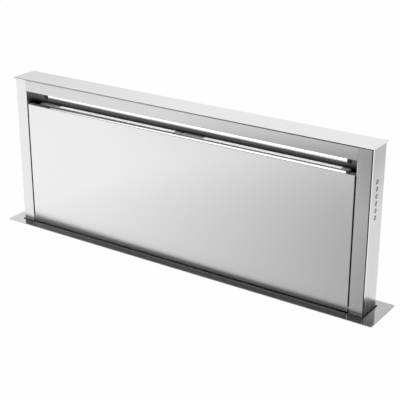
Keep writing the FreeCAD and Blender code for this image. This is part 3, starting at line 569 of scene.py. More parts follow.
nylon = mottled("white_nylon", (0.72, 0.72, 0.68), (0.84, 0.84, 0.80), 120.0, 0.42, 0.00004)
for node in ("nut_carriers", "slide_shoes"):
    edged(node, nylon, 0.0008)
bronze = mottled("nut_bronze", (0.50, 0.34, 0.16), (0.72, 0.52, 0.28), (60.0, 60.0, 1800.0), 0.28,
                 0.00001, 1.0)
edged("lead_nuts", bronze, 0.0005)
extruded = mottled("extruded_aluminium", (0.62, 0.63, 0.64), (0.76, 0.77, 0.78), (900.0, 900.0, 8.0),
                   (0.28, 0.40), 0.00001, 1.0)
for node in ("guide_rails", "bearing_blocks", "shaft_coupling"):
    edged(node, extruded, 0.0006)
turned = mottled("turned_steel", (0.46, 0.46, 0.48), (0.62, 0.62, 0.63), (60.0, 60.0, 1500.0), 0.26,
                 0.000008, 1.0)
edged("screw_bearings", turned, 0.0004)

turns = int((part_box("left_lead_screw")[1].z - 0.004 - SCREW_FOOT_Z) / SCREW_LEAD)
helix = bmesh.new()
ridge = [helix.verts.new((radius, 0.0, SCREW_FOOT_Z + height)) for radius, height in SCREW_RIDGE]
loop = [helix.edges.new(pair) for pair in zip(ridge, ridge[1:] + ridge[:1])]
helix.faces.new(ridge)
last = bmesh.ops.spin(helix, geom=ridge + loop, axis=UP, dvec=UP * SCREW_LEAD / SCREW_STEPS,
                      angle=math.tau * turns, steps=SCREW_STEPS * turns)["geom_last"]
bmesh.ops.contextual_create(helix, geom=[e for e in last if isinstance(e, bmesh.types.BMEdge)])
one_start = bpy.data.meshes.new("screw_start")
helix.to_mesh(one_start)
helix.free()

for side, x in SCREW_X.items():
    axis = Vector((x, SCREW_Y, 0.0))
    low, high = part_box(f"{side}_lead_screw")
    bm = bmesh.new()
    for start in range(SCREW_STARTS):
        bm.from_mesh(one_start)
        fresh = bm.verts[-len(one_start.vertices):]
        bmesh.ops.rotate(bm, verts=fresh, matrix=Matrix.Rotation(math.tau * start / SCREW_STARTS, 3, "Z"))
        bmesh.ops.translate(bm, verts=fresh, vec=axis)
    lathe(bm, [(0.0, low.z), (0.0034, low.z), (0.0040, low.z + 0.0006), (0.0040, -0.4500),
               (0.0050, -0.4498), (0.0050, -0.4255), (0.0073, -0.4255), (0.0075, -0.4253),
               (0.0075, -0.4212), (0.0073, -0.4210), (0.0040, -0.4210), (0.0040, high.z - 0.0006),
               (0.0034, high.z), (0.0, high.z)], axis)
    drum = bmesh.new()
    lathe(drum, PULLEY_PROFILE, axis, steps=PULLEY_TEETH * 4)
    for vert in drum.verts:
        from_axis = vert.co - axis - UP * vert.co.z
        tooth = math.atan2(from_axis.y, from_axis.x) / math.tau * PULLEY_TEETH % 1.0
        if abs(from_axis.length - PULLEY_R) < 1e-5 and 0.4 < tooth < 0.9:
            vert.co -= from_axis * TOOTH_CUT
    finish_piece(f"{side}_pulley", drum, extruded, f"{side}_lead_screw")
    finish_piece(f"{side}_screw", bm, turned, f"{side}_lead_screw")
bpy.data.meshes.remove(one_start)

belt_rubber = mottled("belt_rubber", (0.016, 0.016, 0.018), (0.040, 0.040, 0.042),
                      (1500.0, 900.0, 900.0), 0.6, 0.00005)
low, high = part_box("drive_belt")
teeth = bmesh.new()
for inner, way in ((low.y + BELT_THICK, 1), (high.y - BELT_THICK, -1)):
    y0, y1 = sorted((inner - way * 0.0003, inner + way * 0.0008))
    slab(teeth, (BELT_TOOTH_X, y0, low.z + 0.0003), (BELT_TOOTH_X + BELT_TOOTH / 2, y1, high.z - 0.0003))
for doubling in range(8):
    copied = bmesh.ops.duplicate(teeth, geom=teeth.verts[:] + teeth.edges[:] + teeth.faces[:])["geom"]
    bmesh.ops.translate(teeth, vec=(BELT_TOOTH * 2 ** doubling, 0.0, 0.0), verts=verts_in(copied))
finish_piece("belt_teeth", teeth, belt_rubber, "drive_belt")
finish_piece("toothed_belt", eased("drive_belt", 0.0003), belt_rubber,
             "drive_belt")

motor_paint = mottled("motor_paint", (0.045, 0.05, 0.055), (0.075, 0.08, 0.085), 500.0, (0.30, 0.46),
                      0.00004)
foot = Vector((SCREW_X["left"], SCREW_Y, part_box("lift_gearmotor")[0].z))
bm = bmesh.new()
lathe(bm, GEARMOTOR_PROFILE, foot, steps=48)
for n in range(4):
    turn = math.radians(45.0 + 90.0 * n)
    at = (foot.x + BOLT_CIRCLE_R * math.cos(turn), foot.y + BOLT_CIRCLE_R * math.sin(turn), foot.z)
    lathe(bm, GEARMOTOR_BOLT, at, steps=12)
finish_piece("lift_gearmotor_body", bm, motor_paint, "lift_gearmotor")
edged("gearmotor_clamp", plated, 0.0005)


# ---------------- blower box
# Five welded sheets on the casing's front. Each has a pressed field or beads that keep it from
# drumming, and spot welds along its edges. The outlet hole is in the right one.
FORWARDS, RIGHT = Vector((0.0, -1.0, 0.0)), Vector((1.0, 0.0, 0.0))
BOX_LOW = Vector((-0.1812, -0.1984, -0.6912))
BOX_HIGH = Vector((0.1812, -0.0372, -0.3838))
BOX_SHEET = 0.0012
JOINT_GAP = 0.00005
FIELD_EDGE = 0.014
FIELD_DEPTH = 0.0006
OUTLET = Vector((0.1800, -0.1172, -0.477378))
OUTLET_R = 0.0738
WELD_FLANGE = 0.010
WELD_FLANGE_Y = (-0.0381, -0.0372)
WELD_FLANGE_FOOT_Z = -0.7010
BOX_WELD_PITCH = 0.052
BOX_WELD_INSET = 0.008
FRONT_BEADS_Z = (-0.410, -0.440, -0.665)
BOX_BEADS_Y = (-0.150, -0.085)
OUTLET_BEADS_Z = (-0.590, -0.620, -0.650)
FAN_AXIS = Vector((-0.025, -0.1984, -0.560))
MOTOR_RING = [(0.054, -0.0002), (0.0565, 0.0006), (0.0595, 0.0006), (0.062, -0.0002), (0.062, -0.0008),
              (0.054, -0.0008), (0.054, -0.0002)]

box = bmesh.new()
slab(box, BOX_LOW, (BOX_HIGH.x, BOX_LOW.y + BOX_SHEET, BOX_HIGH.z))
face = [f for f in box.faces if f.normal.y < -0.9]
bmesh.ops.inset_region(box, faces=face, thickness=FIELD_EDGE, depth=0.0)
bmesh.ops.inset_region(box, faces=face, thickness=0.0012, depth=-FIELD_DEPTH)
back_y = BOX_LOW.y + BOX_SHEET + JOINT_GAP
side_foot, side_top = BOX_LOW.z + BOX_SHEET + JOINT_GAP, BOX_HIGH.z - BOX_SHEET - JOINT_GAP
slab(box, (BOX_LOW.x, back_y, BOX_HIGH.z - BOX_SHEET), BOX_HIGH)
slab(box, (BOX_LOW.x, back_y, BOX_LOW.z), (BOX_HIGH.x, BOX_HIGH.y, BOX_LOW.z + BOX_SHEET))
slab(box, (BOX_LOW.x, back_y, side_foot), (BOX_LOW.x + BOX_SHEET, BOX_HIGH.y, side_top))
corners = [box.verts.new((OUTLET.x, y, z)) for y, z in
           ((back_y, side_foot), (BOX_HIGH.y, side_foot), (BOX_HIGH.y, side_top), (back_y, side_top))]
outline = [box.edges.new(pair) for pair in zip(corners, corners[1:] + corners[:1])]
turn = Matrix.Translation(OUTLET) @ Matrix.Rotation(math.pi / 2, 4, "Y")
hole = bmesh.ops.create_circle(box, segments=64, radius=OUTLET_R, matrix=turn)["verts"]
outline += list({e for v in hole for e in v.link_edges})
filled = bmesh.ops.triangle_fill(box, edges=outline, use_dissolve=True)["geom"]
drawn_out(box, [f for f in filled if isinstance(f, bmesh.types.BMFace)], RIGHT * BOX_SHEET)
flange_x, flange_top = BOX_HIGH.x + WELD_FLANGE, BOX_HIGH.z + WELD_FLANGE
for x0, x1, z0, z1 in ((-flange_x, BOX_LOW.x, BOX_LOW.z, flange_top),
                       (BOX_HIGH.x, flange_x, BOX_LOW.z, flange_top),
                       (BOX_LOW.x, BOX_HIGH.x, BOX_HIGH.z, flange_top),
                       (-flange_x, flange_x, WELD_FLANGE_FOOT_Z, BOX_LOW.z)):
    slab(box, (x0 + JOINT_GAP, WELD_FLANGE_Y[0], z0 + JOINT_GAP),
         (x1 - JOINT_GAP, WELD_FLANGE_Y[1], z1 - JOINT_GAP))
soften(box, SHEET_EASE)
lathe(box, MOTOR_RING, FAN_AXIS - FORWARDS * FIELD_DEPTH, FORWARDS, 64)
for z in FRONT_BEADS_Z:
    y = BOX_LOW.y + FIELD_DEPTH
    bead(box, (-0.150, y, z), (0.150, y, z), FORWARDS, 0.010, 0.0006)
for y in BOX_BEADS_Y:
    bead(box, (BOX_LOW.x, y, -0.430), (BOX_LOW.x, y, -0.645), -RIGHT)
    bead(box, (-0.150, y, BOX_HIGH.z), (0.150, y, BOX_HIGH.z), UP)
for z in OUTLET_BEADS_Z:
    bead(box, (BOX_HIGH.x, BOX_BEADS_Y[0], z), (BOX_HIGH.x, BOX_BEADS_Y[1], z), RIGHT)
weld_rows_y = (BOX_LOW.y + BOX_WELD_INSET, BOX_HIGH.y - BOX_WELD_INSET)
for n in range(7):
    x = (n - 3) * BOX_WELD_PITCH
    weld(box, (x, WELD_FLANGE_Y[0], BOX_HIGH.z + WELD_FLANGE / 2), FORWARDS)
    for y in weld_rows_y:
        weld(box, (x, y, BOX_HIGH.z), UP)
        weld(box, (x, y, BOX_LOW.z), -UP)
for n in range(6):
    z = BOX_LOW.z + 0.024 + n * BOX_WELD_PITCH
    beside_outlet = abs(z - OUTLET.z)
    for x, out in ((BOX_LOW.x, -RIGHT), (BOX_HIGH.x, RIGHT)):
        if out.x < 0 or beside_outlet > 0.030:
            weld(box, (x + out.x * WELD_FLANGE / 2, WELD_FLANGE_Y[0], z), FORWARDS)
        for y in weld_rows_y:
            if out.x < 0 or beside_outlet > 0.085 or n == 0:
                weld(box, (x, y, z), out)
finish_piece("blower_box_sheets", box, plated, "blower_box")
edged("blower_scroll", plated, 0.0002)


# ---------------- fan
# A moulded double-intake wheel with 36 leaning blades turns on the shaft of a motor that is bolted
# to the box's front sheet. Air comes in through a moulded ring in the casing's front.
MOTOR_R = 0.0450
MOTOR_PROFILE = [(0.0, 0.0), (0.0430, 0.0), (MOTOR_R, 0.0016), (MOTOR_R, 0.0100), (0.0440, 0.0108),
                 (0.0440, 0.0122), (MOTOR_R, 0.0130), (MOTOR_R, 0.0470), (0.0440, 0.0478),
                 (0.0440, 0.0492), (MOTOR_R, 0.0500), (MOTOR_R, 0.0590), (0.0425, 0.0620),
                 (0.0200, 0.0640), (0.0180, 0.0680), (0.0090, 0.0680), (0.0090, 0.0668),
                 (0.00525, 0.0668), (0.00525, 0.0036), (0.0, 0.0036)]
MOTOR_FINS = 24
FIN_HALF = 0.0008
FIN_SPAN = (0.0160, 0.0440)
fan_plastic = mottled("fan_plastic", (0.035, 0.035, 0.040), (0.070, 0.070, 0.075),
                      (200.0, 60.0, 200.0), (0.34, 0.50), 0.00003, fine=1200.0)
edged("impeller", fan_plastic, 0.0002)
edged("impeller_shaft", turned, 0.0004)
can = bmesh.new()
motor_foot = FAN_AXIS - FORWARDS * BOX_SHEET
lathe(can, MOTOR_PROFILE, motor_foot, -FORWARDS, 64)
for n in range(MOTOR_FINS):
    fin = slab(can, (-FIN_HALF, FIN_SPAN[0], MOTOR_R - 0.0018), (FIN_HALF, FIN_SPAN[1], MOTOR_R))
    bmesh.ops.rotate(can, verts=fin, matrix=Matrix.Rotation(math.tau * n / MOTOR_FINS, 3, "Y"))
    bmesh.ops.translate(can, verts=fin, vec=motor_foot)
finish_piece("blower_motor_can", can, motor_paint, "blower_motor")
black_moulding = mottled("black_moulding", (0.020, 0.020, 0.022), (0.045, 0.045, 0.047), 1100.0,
                         (0.42, 0.58), 0.00006, detail=5.0)
edged("inlet_ring", black_moulding, 0.0004)


# ---------------- outlet duct
# A moulded collar with a flange, two ridges that hold the hose and twelve gussets. The two halves
# of the back-draught flap swing on a steel pin across it.
DUCT_R = 0.075
ROOT_R = DUCT_R - 0.0005
RIDGE_R = DUCT_R + 0.0008
RIDGE = [(ROOT_R, 0.0), (DUCT_R, 0.0), (RIDGE_R, 0.0012), (RIDGE_R, 0.0018), (DUCT_R, 0.0026),
         (ROOT_R, 0.0026), (ROOT_R, 0.0)]
RIDGE_PLACES = (0.0120, 0.0200)
GUSSETS = 12
GUSSET_THICK = 0.0012
GUSSET = [(0.0012, ROOT_R), (0.0012, DUCT_R + 0.0035), (0.0030, DUCT_R + 0.0035), (0.0120, ROOT_R)]
duct_plastic = mottled("duct_plastic", (0.075, 0.075, 0.080), (0.125, 0.125, 0.130), 900.0,
                       (0.38, 0.55), 0.00005, detail=4.0)
collar = eased("duct_collar", 0.0003)
low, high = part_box("duct_collar")
middle = (low + high) / 2
for place in RIDGE_PLACES:
    lathe(collar, RIDGE, (high.x - place, middle.y, middle.z), RIGHT, 96)
for n in range(GUSSETS):
    turn = Matrix.Rotation(math.tau * (n + 0.5) / GUSSETS, 3, "X")
    wing = [collar.verts.new((low.x + x, GUSSET_THICK / 2, r)) for x, r in GUSSET]
    wing += drawn_out(collar, [collar.faces.new(wing)], (0.0, -GUSSET_THICK, 0.0))
    for vert in wing:
        out = turn @ Vector((0.0, vert.co.y, vert.co.z))
        vert.co = Vector((vert.co.x, middle.y + out.y, middle.z + out.z))
finish_piece("duct_collar_moulding", collar, duct_plastic, "duct_collar")
for node in ("front_check_flap", "rear_check_flap"):
    edged(node, duct_plastic, 0.0002)
edged("flap_pin", turned)


# ---------------- mains box
# A moulded box on the casing with a snap-on lid. The lid has a raised field with cooling ribs, and
# four catches on its edges. The circuit board inside stands on four bosses.
LID_RIBS = 10
RIB_PITCH = 0.007
RIB_HALF = 0.0014
LID_MARGIN = 0.030
CATCH_HALF = 0.006
BOARD_PARTS_Y = -0.0512
GLAND_R = 0.0090
GLAND_PROFILE = [(0.0045, 0.0), (0.0055, 0.0), (0.0072, 0.0010), (0.0080, 0.0035), (0.0082, 0.0040),
                 (GLAND_R, 0.0042), (GLAND_R, 0.0108), (0.0084, 0.0112), (0.0084, 0.0118),
                 (GLAND_R, 0.0122), (GLAND_R, 0.0140), (0.0070, 0.0140), (0.0070, 0.0180),
                 (0.0045, 0.0180), (0.0045, 0.0)]
GLAND_GRIPS = 24
edged("mains_box", black_moulding, 0.0008)
low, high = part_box("mains_box_lid")
lid = bmesh.new()
slab(lid, (low.x, low.y + 0.0008, low.z), high)
soften(lid, 0.0006)
for n in range(LID_RIBS):
    x = (low.x + high.x) / 2 + (n - (LID_RIBS - 1) / 2) * RIB_PITCH
    slab(lid, (x - RIB_HALF, low.y, low.z + LID_MARGIN), (x + RIB_HALF, low.y + 0.0012, high.z - LID_MARGIN))
for x in (low.x + LID_MARGIN, high.x - LID_MARGIN):
    for z, way in ((low.z, -1), (high.z, 1)):
        z0, z1 = sorted((z, z + way * 0.0009))
        slab(lid, (x - CATCH_HALF, low.y + 0.0006, z0), (x + CATCH_HALF, low.y + 0.0075, z1))
finish_piece("mains_box_lid_moulding", lid, black_moulding, "mains_box_lid")

solder_green = mottled("board_green", (0.015, 0.10, 0.045), (0.04, 0.22, 0.10), 300.0, 0.35, 0.00005)
board = eased("power_board", 0.0003)
for face in board.faces:
    face.material_index = 1 if face.calc_center_median().y < BOARD_PARTS_Y else 0
finish_piece("power_board_populated", board, (solder_green, black_moulding),
             "power_board")

low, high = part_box("cable_gland")
foot = Vector(((low.x + high.x) / 2, (low.y + high.y) / 2, low.z))
gland = bmesh.new()
lathe(gland, GLAND_PROFILE, foot, steps=48)
hexed(gland, foot, GLAND_R, 0.0120, 0.0141)
for vert in gland.verts:
    away = vert.co - Vector((foot.x, foot.y, vert.co.z))
    grip = math.atan2(away.y, away.x) / math.tau * GLAND_GRIPS % 1.0
    if abs(away.length - GLAND_R) < 1e-5 and vert.co.z < low.z + 0.0111 and grip > 0.45:
        vert.co -= away * TOOTH_CUT
finish_piece("cable_gland_nut", gland, black_moulding, "cable_gland")


# ---------------- tower stiles
# Folded box sections of 1.5 mm stainless that carry the tower, ground lengthways. Each is closed by
# a seam on its outer side, beside the front corner. The seam's groove is painted black as shade, and a
# painted highlight runs on the corner beside it and on the slot's edges. The right one has the six holes for
# the keys.
STILE_INNER_X = 0.3835
STILE_OUTER_X = 0.411
TOWER_FRONT_Y = -0.028
EDGE_BAND_X = STILE_INNER_X + 0.0011
SEAM_Y = (-0.0278, -0.0246)
BAND_END_Y = -0.0210
SEAM_DEPTH = 0.0008
SLOT_Z = (0.2703, 0.2973)
NEAR = 0.00001
FOOT_Z = 0.0025
SWELL_REACH = 0.028


def cut_across(bm, axis, at, sign=1, trim=False):
    """Cuts every face by a plane across an axis. Trim takes away what lies beyond it."""
    normal = Vector((0.0, 0.0, 0.0))
    normal[axis] = sign
    return bmesh.ops.bisect_plane(bm, geom=bm.verts[:] + bm.edges[:] + bm.faces[:], plane_no=normal,
                                  plane_co=normal * at, clear_outer=trim)["geom_cut"]


def brushed(name, dark, light, scale, rough):
    """Metal ground in one direction, with fine lines and faint smears. scale is small along the lines."""
    material, tree, shader, where = shade(name, light, rough[0], 1.0)
    lines = grain(tree, where, scale)
    tint(tree, shader, lines, dark, light)
    shine(tree, shader, grain(tree, where, 9.0, 4.0), *rough)
    relief(tree, shader, lines, BRUSH_HEIGHT, BRUSH_STRENGTH)
    return material


def swell(steel, depth):
    """Turns the steel's shine up near the worktop, as on a sheet that swells a little at its foot."""
    tree = steel.node_tree
    height = tree.nodes["Separate XYZ"].outputs["Z"]
    share = spread(tree, height, 1.0, 0.0, FOOT_Z, FOOT_Z + SWELL_REACH)
    swollen = tree.nodes.new("ShaderNodeBump")
    swollen.inputs["Distance"].default_value = depth
    tree.links.new(worked_out(tree, "POWER", share, 2.0), swollen.inputs["Height"])
    tree.links.new(swollen.outputs["Normal"], tree.nodes["Bump"].inputs["Normal"])


# The stiles' tone is painted reflection: the left stile lighter, the right one darker, and both lighter low
# down.
stile_steel = painted_reflection_steel("stile_brushed_steel", 0.82, 0.47, (("X", -0.4, 0.4, 0.0), ("Z", 0.20, 0.30, 0.45)),
                    (1500.0, 1500.0, 5.0))
swell(stile_steel, 0.0012)
# The seam's black is painted shade in its groove.
seam_painted_shade = mottled("stile_seam_painted_shade", 0.012, 0.028, 300.0, 0.6, 0.0)
# Paler, shinier steel painted on as a highlight where edges catch the light.
painted_highlight_steel = brushed("painted_highlight_edge", 0.90, 0.96, (900.0, 900.0, 5.0), (0.14, 0.18))
for side, node in ((-1, "left_stile"), (1, "right_stile")):
    bm = eased(node, 0.0003)
    for axis, at in ((0, side * EDGE_BAND_X), (1, SEAM_Y[0]), (1, SEAM_Y[1]), (1, BAND_END_Y),
                     (2, SLOT_Z[0]), (2, SLOT_Z[1])):
        cut_across(bm, axis, at)
    seam = [f for f in bm.faces if side * f.calc_center_median().x > STILE_OUTER_X - NEAR
            and SEAM_Y[0] < f.calc_center_median().y < SEAM_Y[1]]
    drawn_out(bm, seam, (-side * SEAM_DEPTH, 0.0, 0.0))
    bmesh.ops.delete(bm, geom=[f for f in seam if f.is_valid], context="FACES_ONLY")
    # Seam faces take the painted shade; the corner strip and the slot's edges take the painted highlight.
    for face in bm.faces:
        middle = face.calc_center_median()
        x = side * middle.x
        in_seam = x > STILE_OUTER_X - SEAM_DEPTH - NEAR and SEAM_Y[0] - NEAR < middle.y < SEAM_Y[1] + NEAR
        on_corner = x > STILE_OUTER_X - NEAR and SEAM_Y[1] < middle.y < BAND_END_Y
        at_slot = x < EDGE_BAND_X and middle.y < TOWER_FRONT_Y + NEAR and SLOT_Z[0] < middle.z < SLOT_Z[1]
        face.material_index = 1 if in_seam else 2 if on_corner or at_slot else 0
    finish_piece(f"{node}_folded", bm, (stile_steel, seam_painted_shade, painted_highlight_steel), node)


# ---------------- head rail, cap and base rail
# The head rail is a folded channel between the stiles, above the slot. The cap is a thin plate
# with a stepped underside that overhangs the tower by 3 mm. The base rail closes the front below.
CAP_EDGE_TOP_Z = 0.3239
CAP_STEP_Y = 0.0265


def bent(node, material, bends, radius=0.0012):
    """As edged, but the folds that the test names get the bend radius of the sheet."""
    bm = node_copy(node)
    round_off(bm, [e for e in turned_edges(bm) if bends(*(v.co for v in e.verts))], radius, 4)
    soften(bm, 0.0002)
    bmesh.ops.remove_doubles(bm, verts=bm.verts, dist=2e-5)
    return finish_piece(f"{node}_folded", bm, material, node)


# The head and base rails' tone is painted reflection: lighter at the left, darker towards the right.
head_steel = painted_reflection_steel("head_brushed_steel", 0.70, 0.50, (("X", -0.05, 0.40, 0.0),), (5.0, 1500.0, 1500.0))
bent("head_rail", head_steel,
     lambda a, b: abs(a.x - b.x) > 0.1 and max(abs(a.y), abs(b.y)) > 0.0279)
bent("base_rail", head_steel,
     lambda a, b: abs(a.x - b.x) > 0.1 and max(a.y, b.y) < -0.0279 and min(a.z, b.z) > 0.001)

# The cap's tone is painted reflection: darker at its left end, lighter from the middle to the right.
cap_steel = painted_reflection_steel("cap_brushed_steel", 0.64, 0.79, (("X", -0.42, 0.05, 0.0),), (5.0, 1500.0, 1500.0),
                  (0.24, 0.30))
# The step under the cap's overhang is painted as a shadow line: grey at the left end, near black towards the
# right.
cap_painted_shadow, tree, shader, where = shade("cap_painted_shadow_line", 0.10, 0.35, 1.0)
tint(tree, shader, spread(tree, apart(tree, where)["X"], 0.3, 0.7, -0.414, 0.30), 0.42, 0.015)
relief(tree, shader, grain(tree, where, (40.0, 1500.0, 1500.0)), 0.00002)
bm = eased("cap_plate", 0.0003)
for face in bm.faces:
    middle = face.calc_center_median()
    face.material_index = 1 if middle.z < CAP_EDGE_TOP_Z and abs(middle.y) > CAP_STEP_Y else 0
finish_piece("cap_plate_folded", bm, (cap_steel, cap_painted_shadow), "cap_plate")


# ---------------- back panel
# A flat sheet closes the back. It is folded outwards along each stile, and ten pan-head screws
# with hexagonal sockets hold it.
SCREW_ROWS = 5
SCREW_HEAD_R = 0.0034
SOCKET_R = 0.0013
SCREW_HEAD = [(0.0, 0.0235), (0.0014, 0.0237), (0.0014, 0.0265), (SCREW_HEAD_R, 0.0265),
              (SCREW_HEAD_R, 0.0271), (0.0031, 0.0276), (0.0025, 0.0279), (0.0015, 0.0279),
              (SOCKET_R, 0.0278), (SOCKET_R, 0.0268), (0.0, 0.0268)]
back_steel = brushed("back_brushed_steel", 0.60, 0.66, (6.0, 900.0, 900.0), (0.28, 0.36))
bent("back_panel", back_steel,
     lambda a, b: abs(a.z - b.z) > 0.1 and min(a.y, b.y) > 0.0264, 0.0008)
low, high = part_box("back_panel_screws")
pitch = (high.z - low.z - 2 * SCREW_HEAD_R) / (SCREW_ROWS - 1)
bm = bmesh.new()
for side in (-1, 1):
    for row in range(SCREW_ROWS):
        foot = (side * (high.x - SCREW_HEAD_R), 0.0, low.z + SCREW_HEAD_R + row * pitch)
        lathe(bm, SCREW_HEAD, foot, -FORWARDS)
        hexed(bm, foot, SOCKET_R, 0.0267, 0.02785, -FORWARDS)
finish_piece("back_panel_pan_screws", bm, zinc, "back_panel_screws")


# ---------------- front panel
# A folded pan of 1.5 mm stainless, ground across its width, with a painted highlight on its top fold. It
# hangs on two pins near its foot and tips forward, and two magnets hold it shut.
TOP_FOLD_Z = 0.2690
PAN_INNER_X = 0.3804
# The panel's tone is painted reflection: lighter at the left and low down, darker to the right and at the
# top.
panel_steel = painted_reflection_steel("panel_brushed_steel", 0.85, 0.68, (("X", -0.20, 0.35, 0.0), ("Z", 0.05, 0.27, 0.3)),
                    (3.0, 1600.0, 1600.0), (0.20, 0.26))
swell(panel_steel, 0.0022)
panel = bent("front_panel", panel_steel,
             lambda a, b: max(a.y, b.y) < -0.0279
             or abs(a.y - b.y) > 0.005 and min(abs(a.x), abs(b.x)) > PAN_INNER_X, 0.0011)
# The top fold takes the painted highlight.
panel.data.materials.append(painted_highlight_steel)
for face in panel.data.polygons:
    face.material_index = 1 if face.center.z > TOP_FOLD_Z else 0
edged("panel_pivot_pins", turned, 0.0002)
ferrite = mottled("ferrite_magnet", (0.05, 0.05, 0.06), (0.13, 0.13, 0.14), 900.0, 0.5, 0.00005)
edged("magnet_catches", ferrite, 0.0004)


# ---------------- grease filters
# Two lift-out cassettes: an aluminium channel, open at the top, round a pack of crimped sheets
# behind a face of expanded aluminium. The wide band at the left end has a pressed finger grip.
FILTER_Y = (-0.012, 0.0)
FILTER_Z = (0.0013, 0.2703)
FILTER_SPANS = {"left": (-0.361, -0.002), "right": (0.001, 0.360)}
SHEET = 0.0010
GRIP_BAND = 0.050
RIM_BAND = 0.015
GRIP_X = (0.010, 0.032)
GRIP_HALF = 0.035
GRIP_LIP = 0.0015
FACE_Y = -0.0104
FACE_LAP = 0.003
DIAMOND, STRAND = (0.0100, 0.0060), 0.0009
TOP_DIAMOND, TOP_STRAND = (0.0050, 0.0024), 0.0008
CRIMP, CRIMP_RISE = 0.0045, 0.0009
PACK_LAYERS, PACK_PITCH, PACK_FRONT_Y = 4, 0.0022, -0.0095
PACK_SHEET = 0.0003
PACK_Z = (FILTER_Z[0] + 2 * SHEET, 0.2680)
UPRIGHT = Matrix.Rotation(math.pi / 2, 3, "X")


def upright_ring(bm, outer, hole, y0, y1):
    """A flat frame that stands in the XZ plane. Both outlines are (x0, x1, z0, z1)."""
    loops = []
    for x0, x1, z0, z1 in (outer, hole):
        corners = [bm.verts.new((x, y0, z)) for x, z in ((x0, z0), (x1, z0), (x1, z1), (x0, z1))]
        loops += [bm.edges.new((a, b)) for a, b in zip(corners, corners[1:] + corners[:1])]
    drawn_out(bm, bmesh.ops.bridge_loops(bm, edges=loops)["faces"], (0.0, y1 - y0, 0.0))


def expanded(size, diamond, strand, turn, middle):
    """Expanded metal: a grid of diamonds trimmed to a rectangle, turned and set at its middle."""
    bm = bmesh.new()
    reach = int(size[0] / diamond[0] + size[1] / diamond[1]) + 2
    grid = bmesh.ops.create_grid(bm, x_segments=reach, y_segments=reach, size=reach / 2)["verts"]
    bmesh.ops.rotate(bm, verts=grid, matrix=Matrix.Rotation(math.pi / 4, 3, "Z"))
    root = math.sqrt(0.5)
    bmesh.ops.scale(bm, vec=(diamond[0] * root, diamond[1] * root, 1.0), verts=grid)
    for axis, sign in ((0, -1), (0, 1), (1, -1), (1, 1)):
        cut_across(bm, axis, size[axis] / 2, sign, True)
    bmesh.ops.wireframe(bm, faces=bm.faces[:], thickness=strand, use_replace=True, use_boundary=True,
                        use_even_offset=False)
    bmesh.ops.rotate(bm, verts=bm.verts, matrix=turn)
    bmesh.ops.translate(bm, vec=middle, verts=bm.verts)
    return bm


cassette = mottled("anodised_cassette", (0.66, 0.67, 0.68), (0.78, 0.79, 0.80), (20.0, 900.0, 900.0), 0.40,
                   0.00001, 0.7)
mesh_metal = mottled("expanded_aluminium", (0.78, 0.79, 0.80), (0.95, 0.96, 0.97), 700.0, 0.22, 0.0001, 1.0)
crest_painted_glow = mottled("expanded_aluminium_painted_glow", (0.86, 0.87, 0.88), (0.98, 0.98, 0.99), 500.0, 0.45,
                      0.0001, 0.1)
# The crests glow a little by their own material, with a paler tone: painted light that keeps them white in
# the slot's shade.
shader = crest_painted_glow.node_tree.nodes["Principled BSDF"]
shader.inputs["Emission Color"].default_value = (1.0, 1.0, 1.0, 1.0)
shader.inputs["Emission Strength"].default_value = 0.30

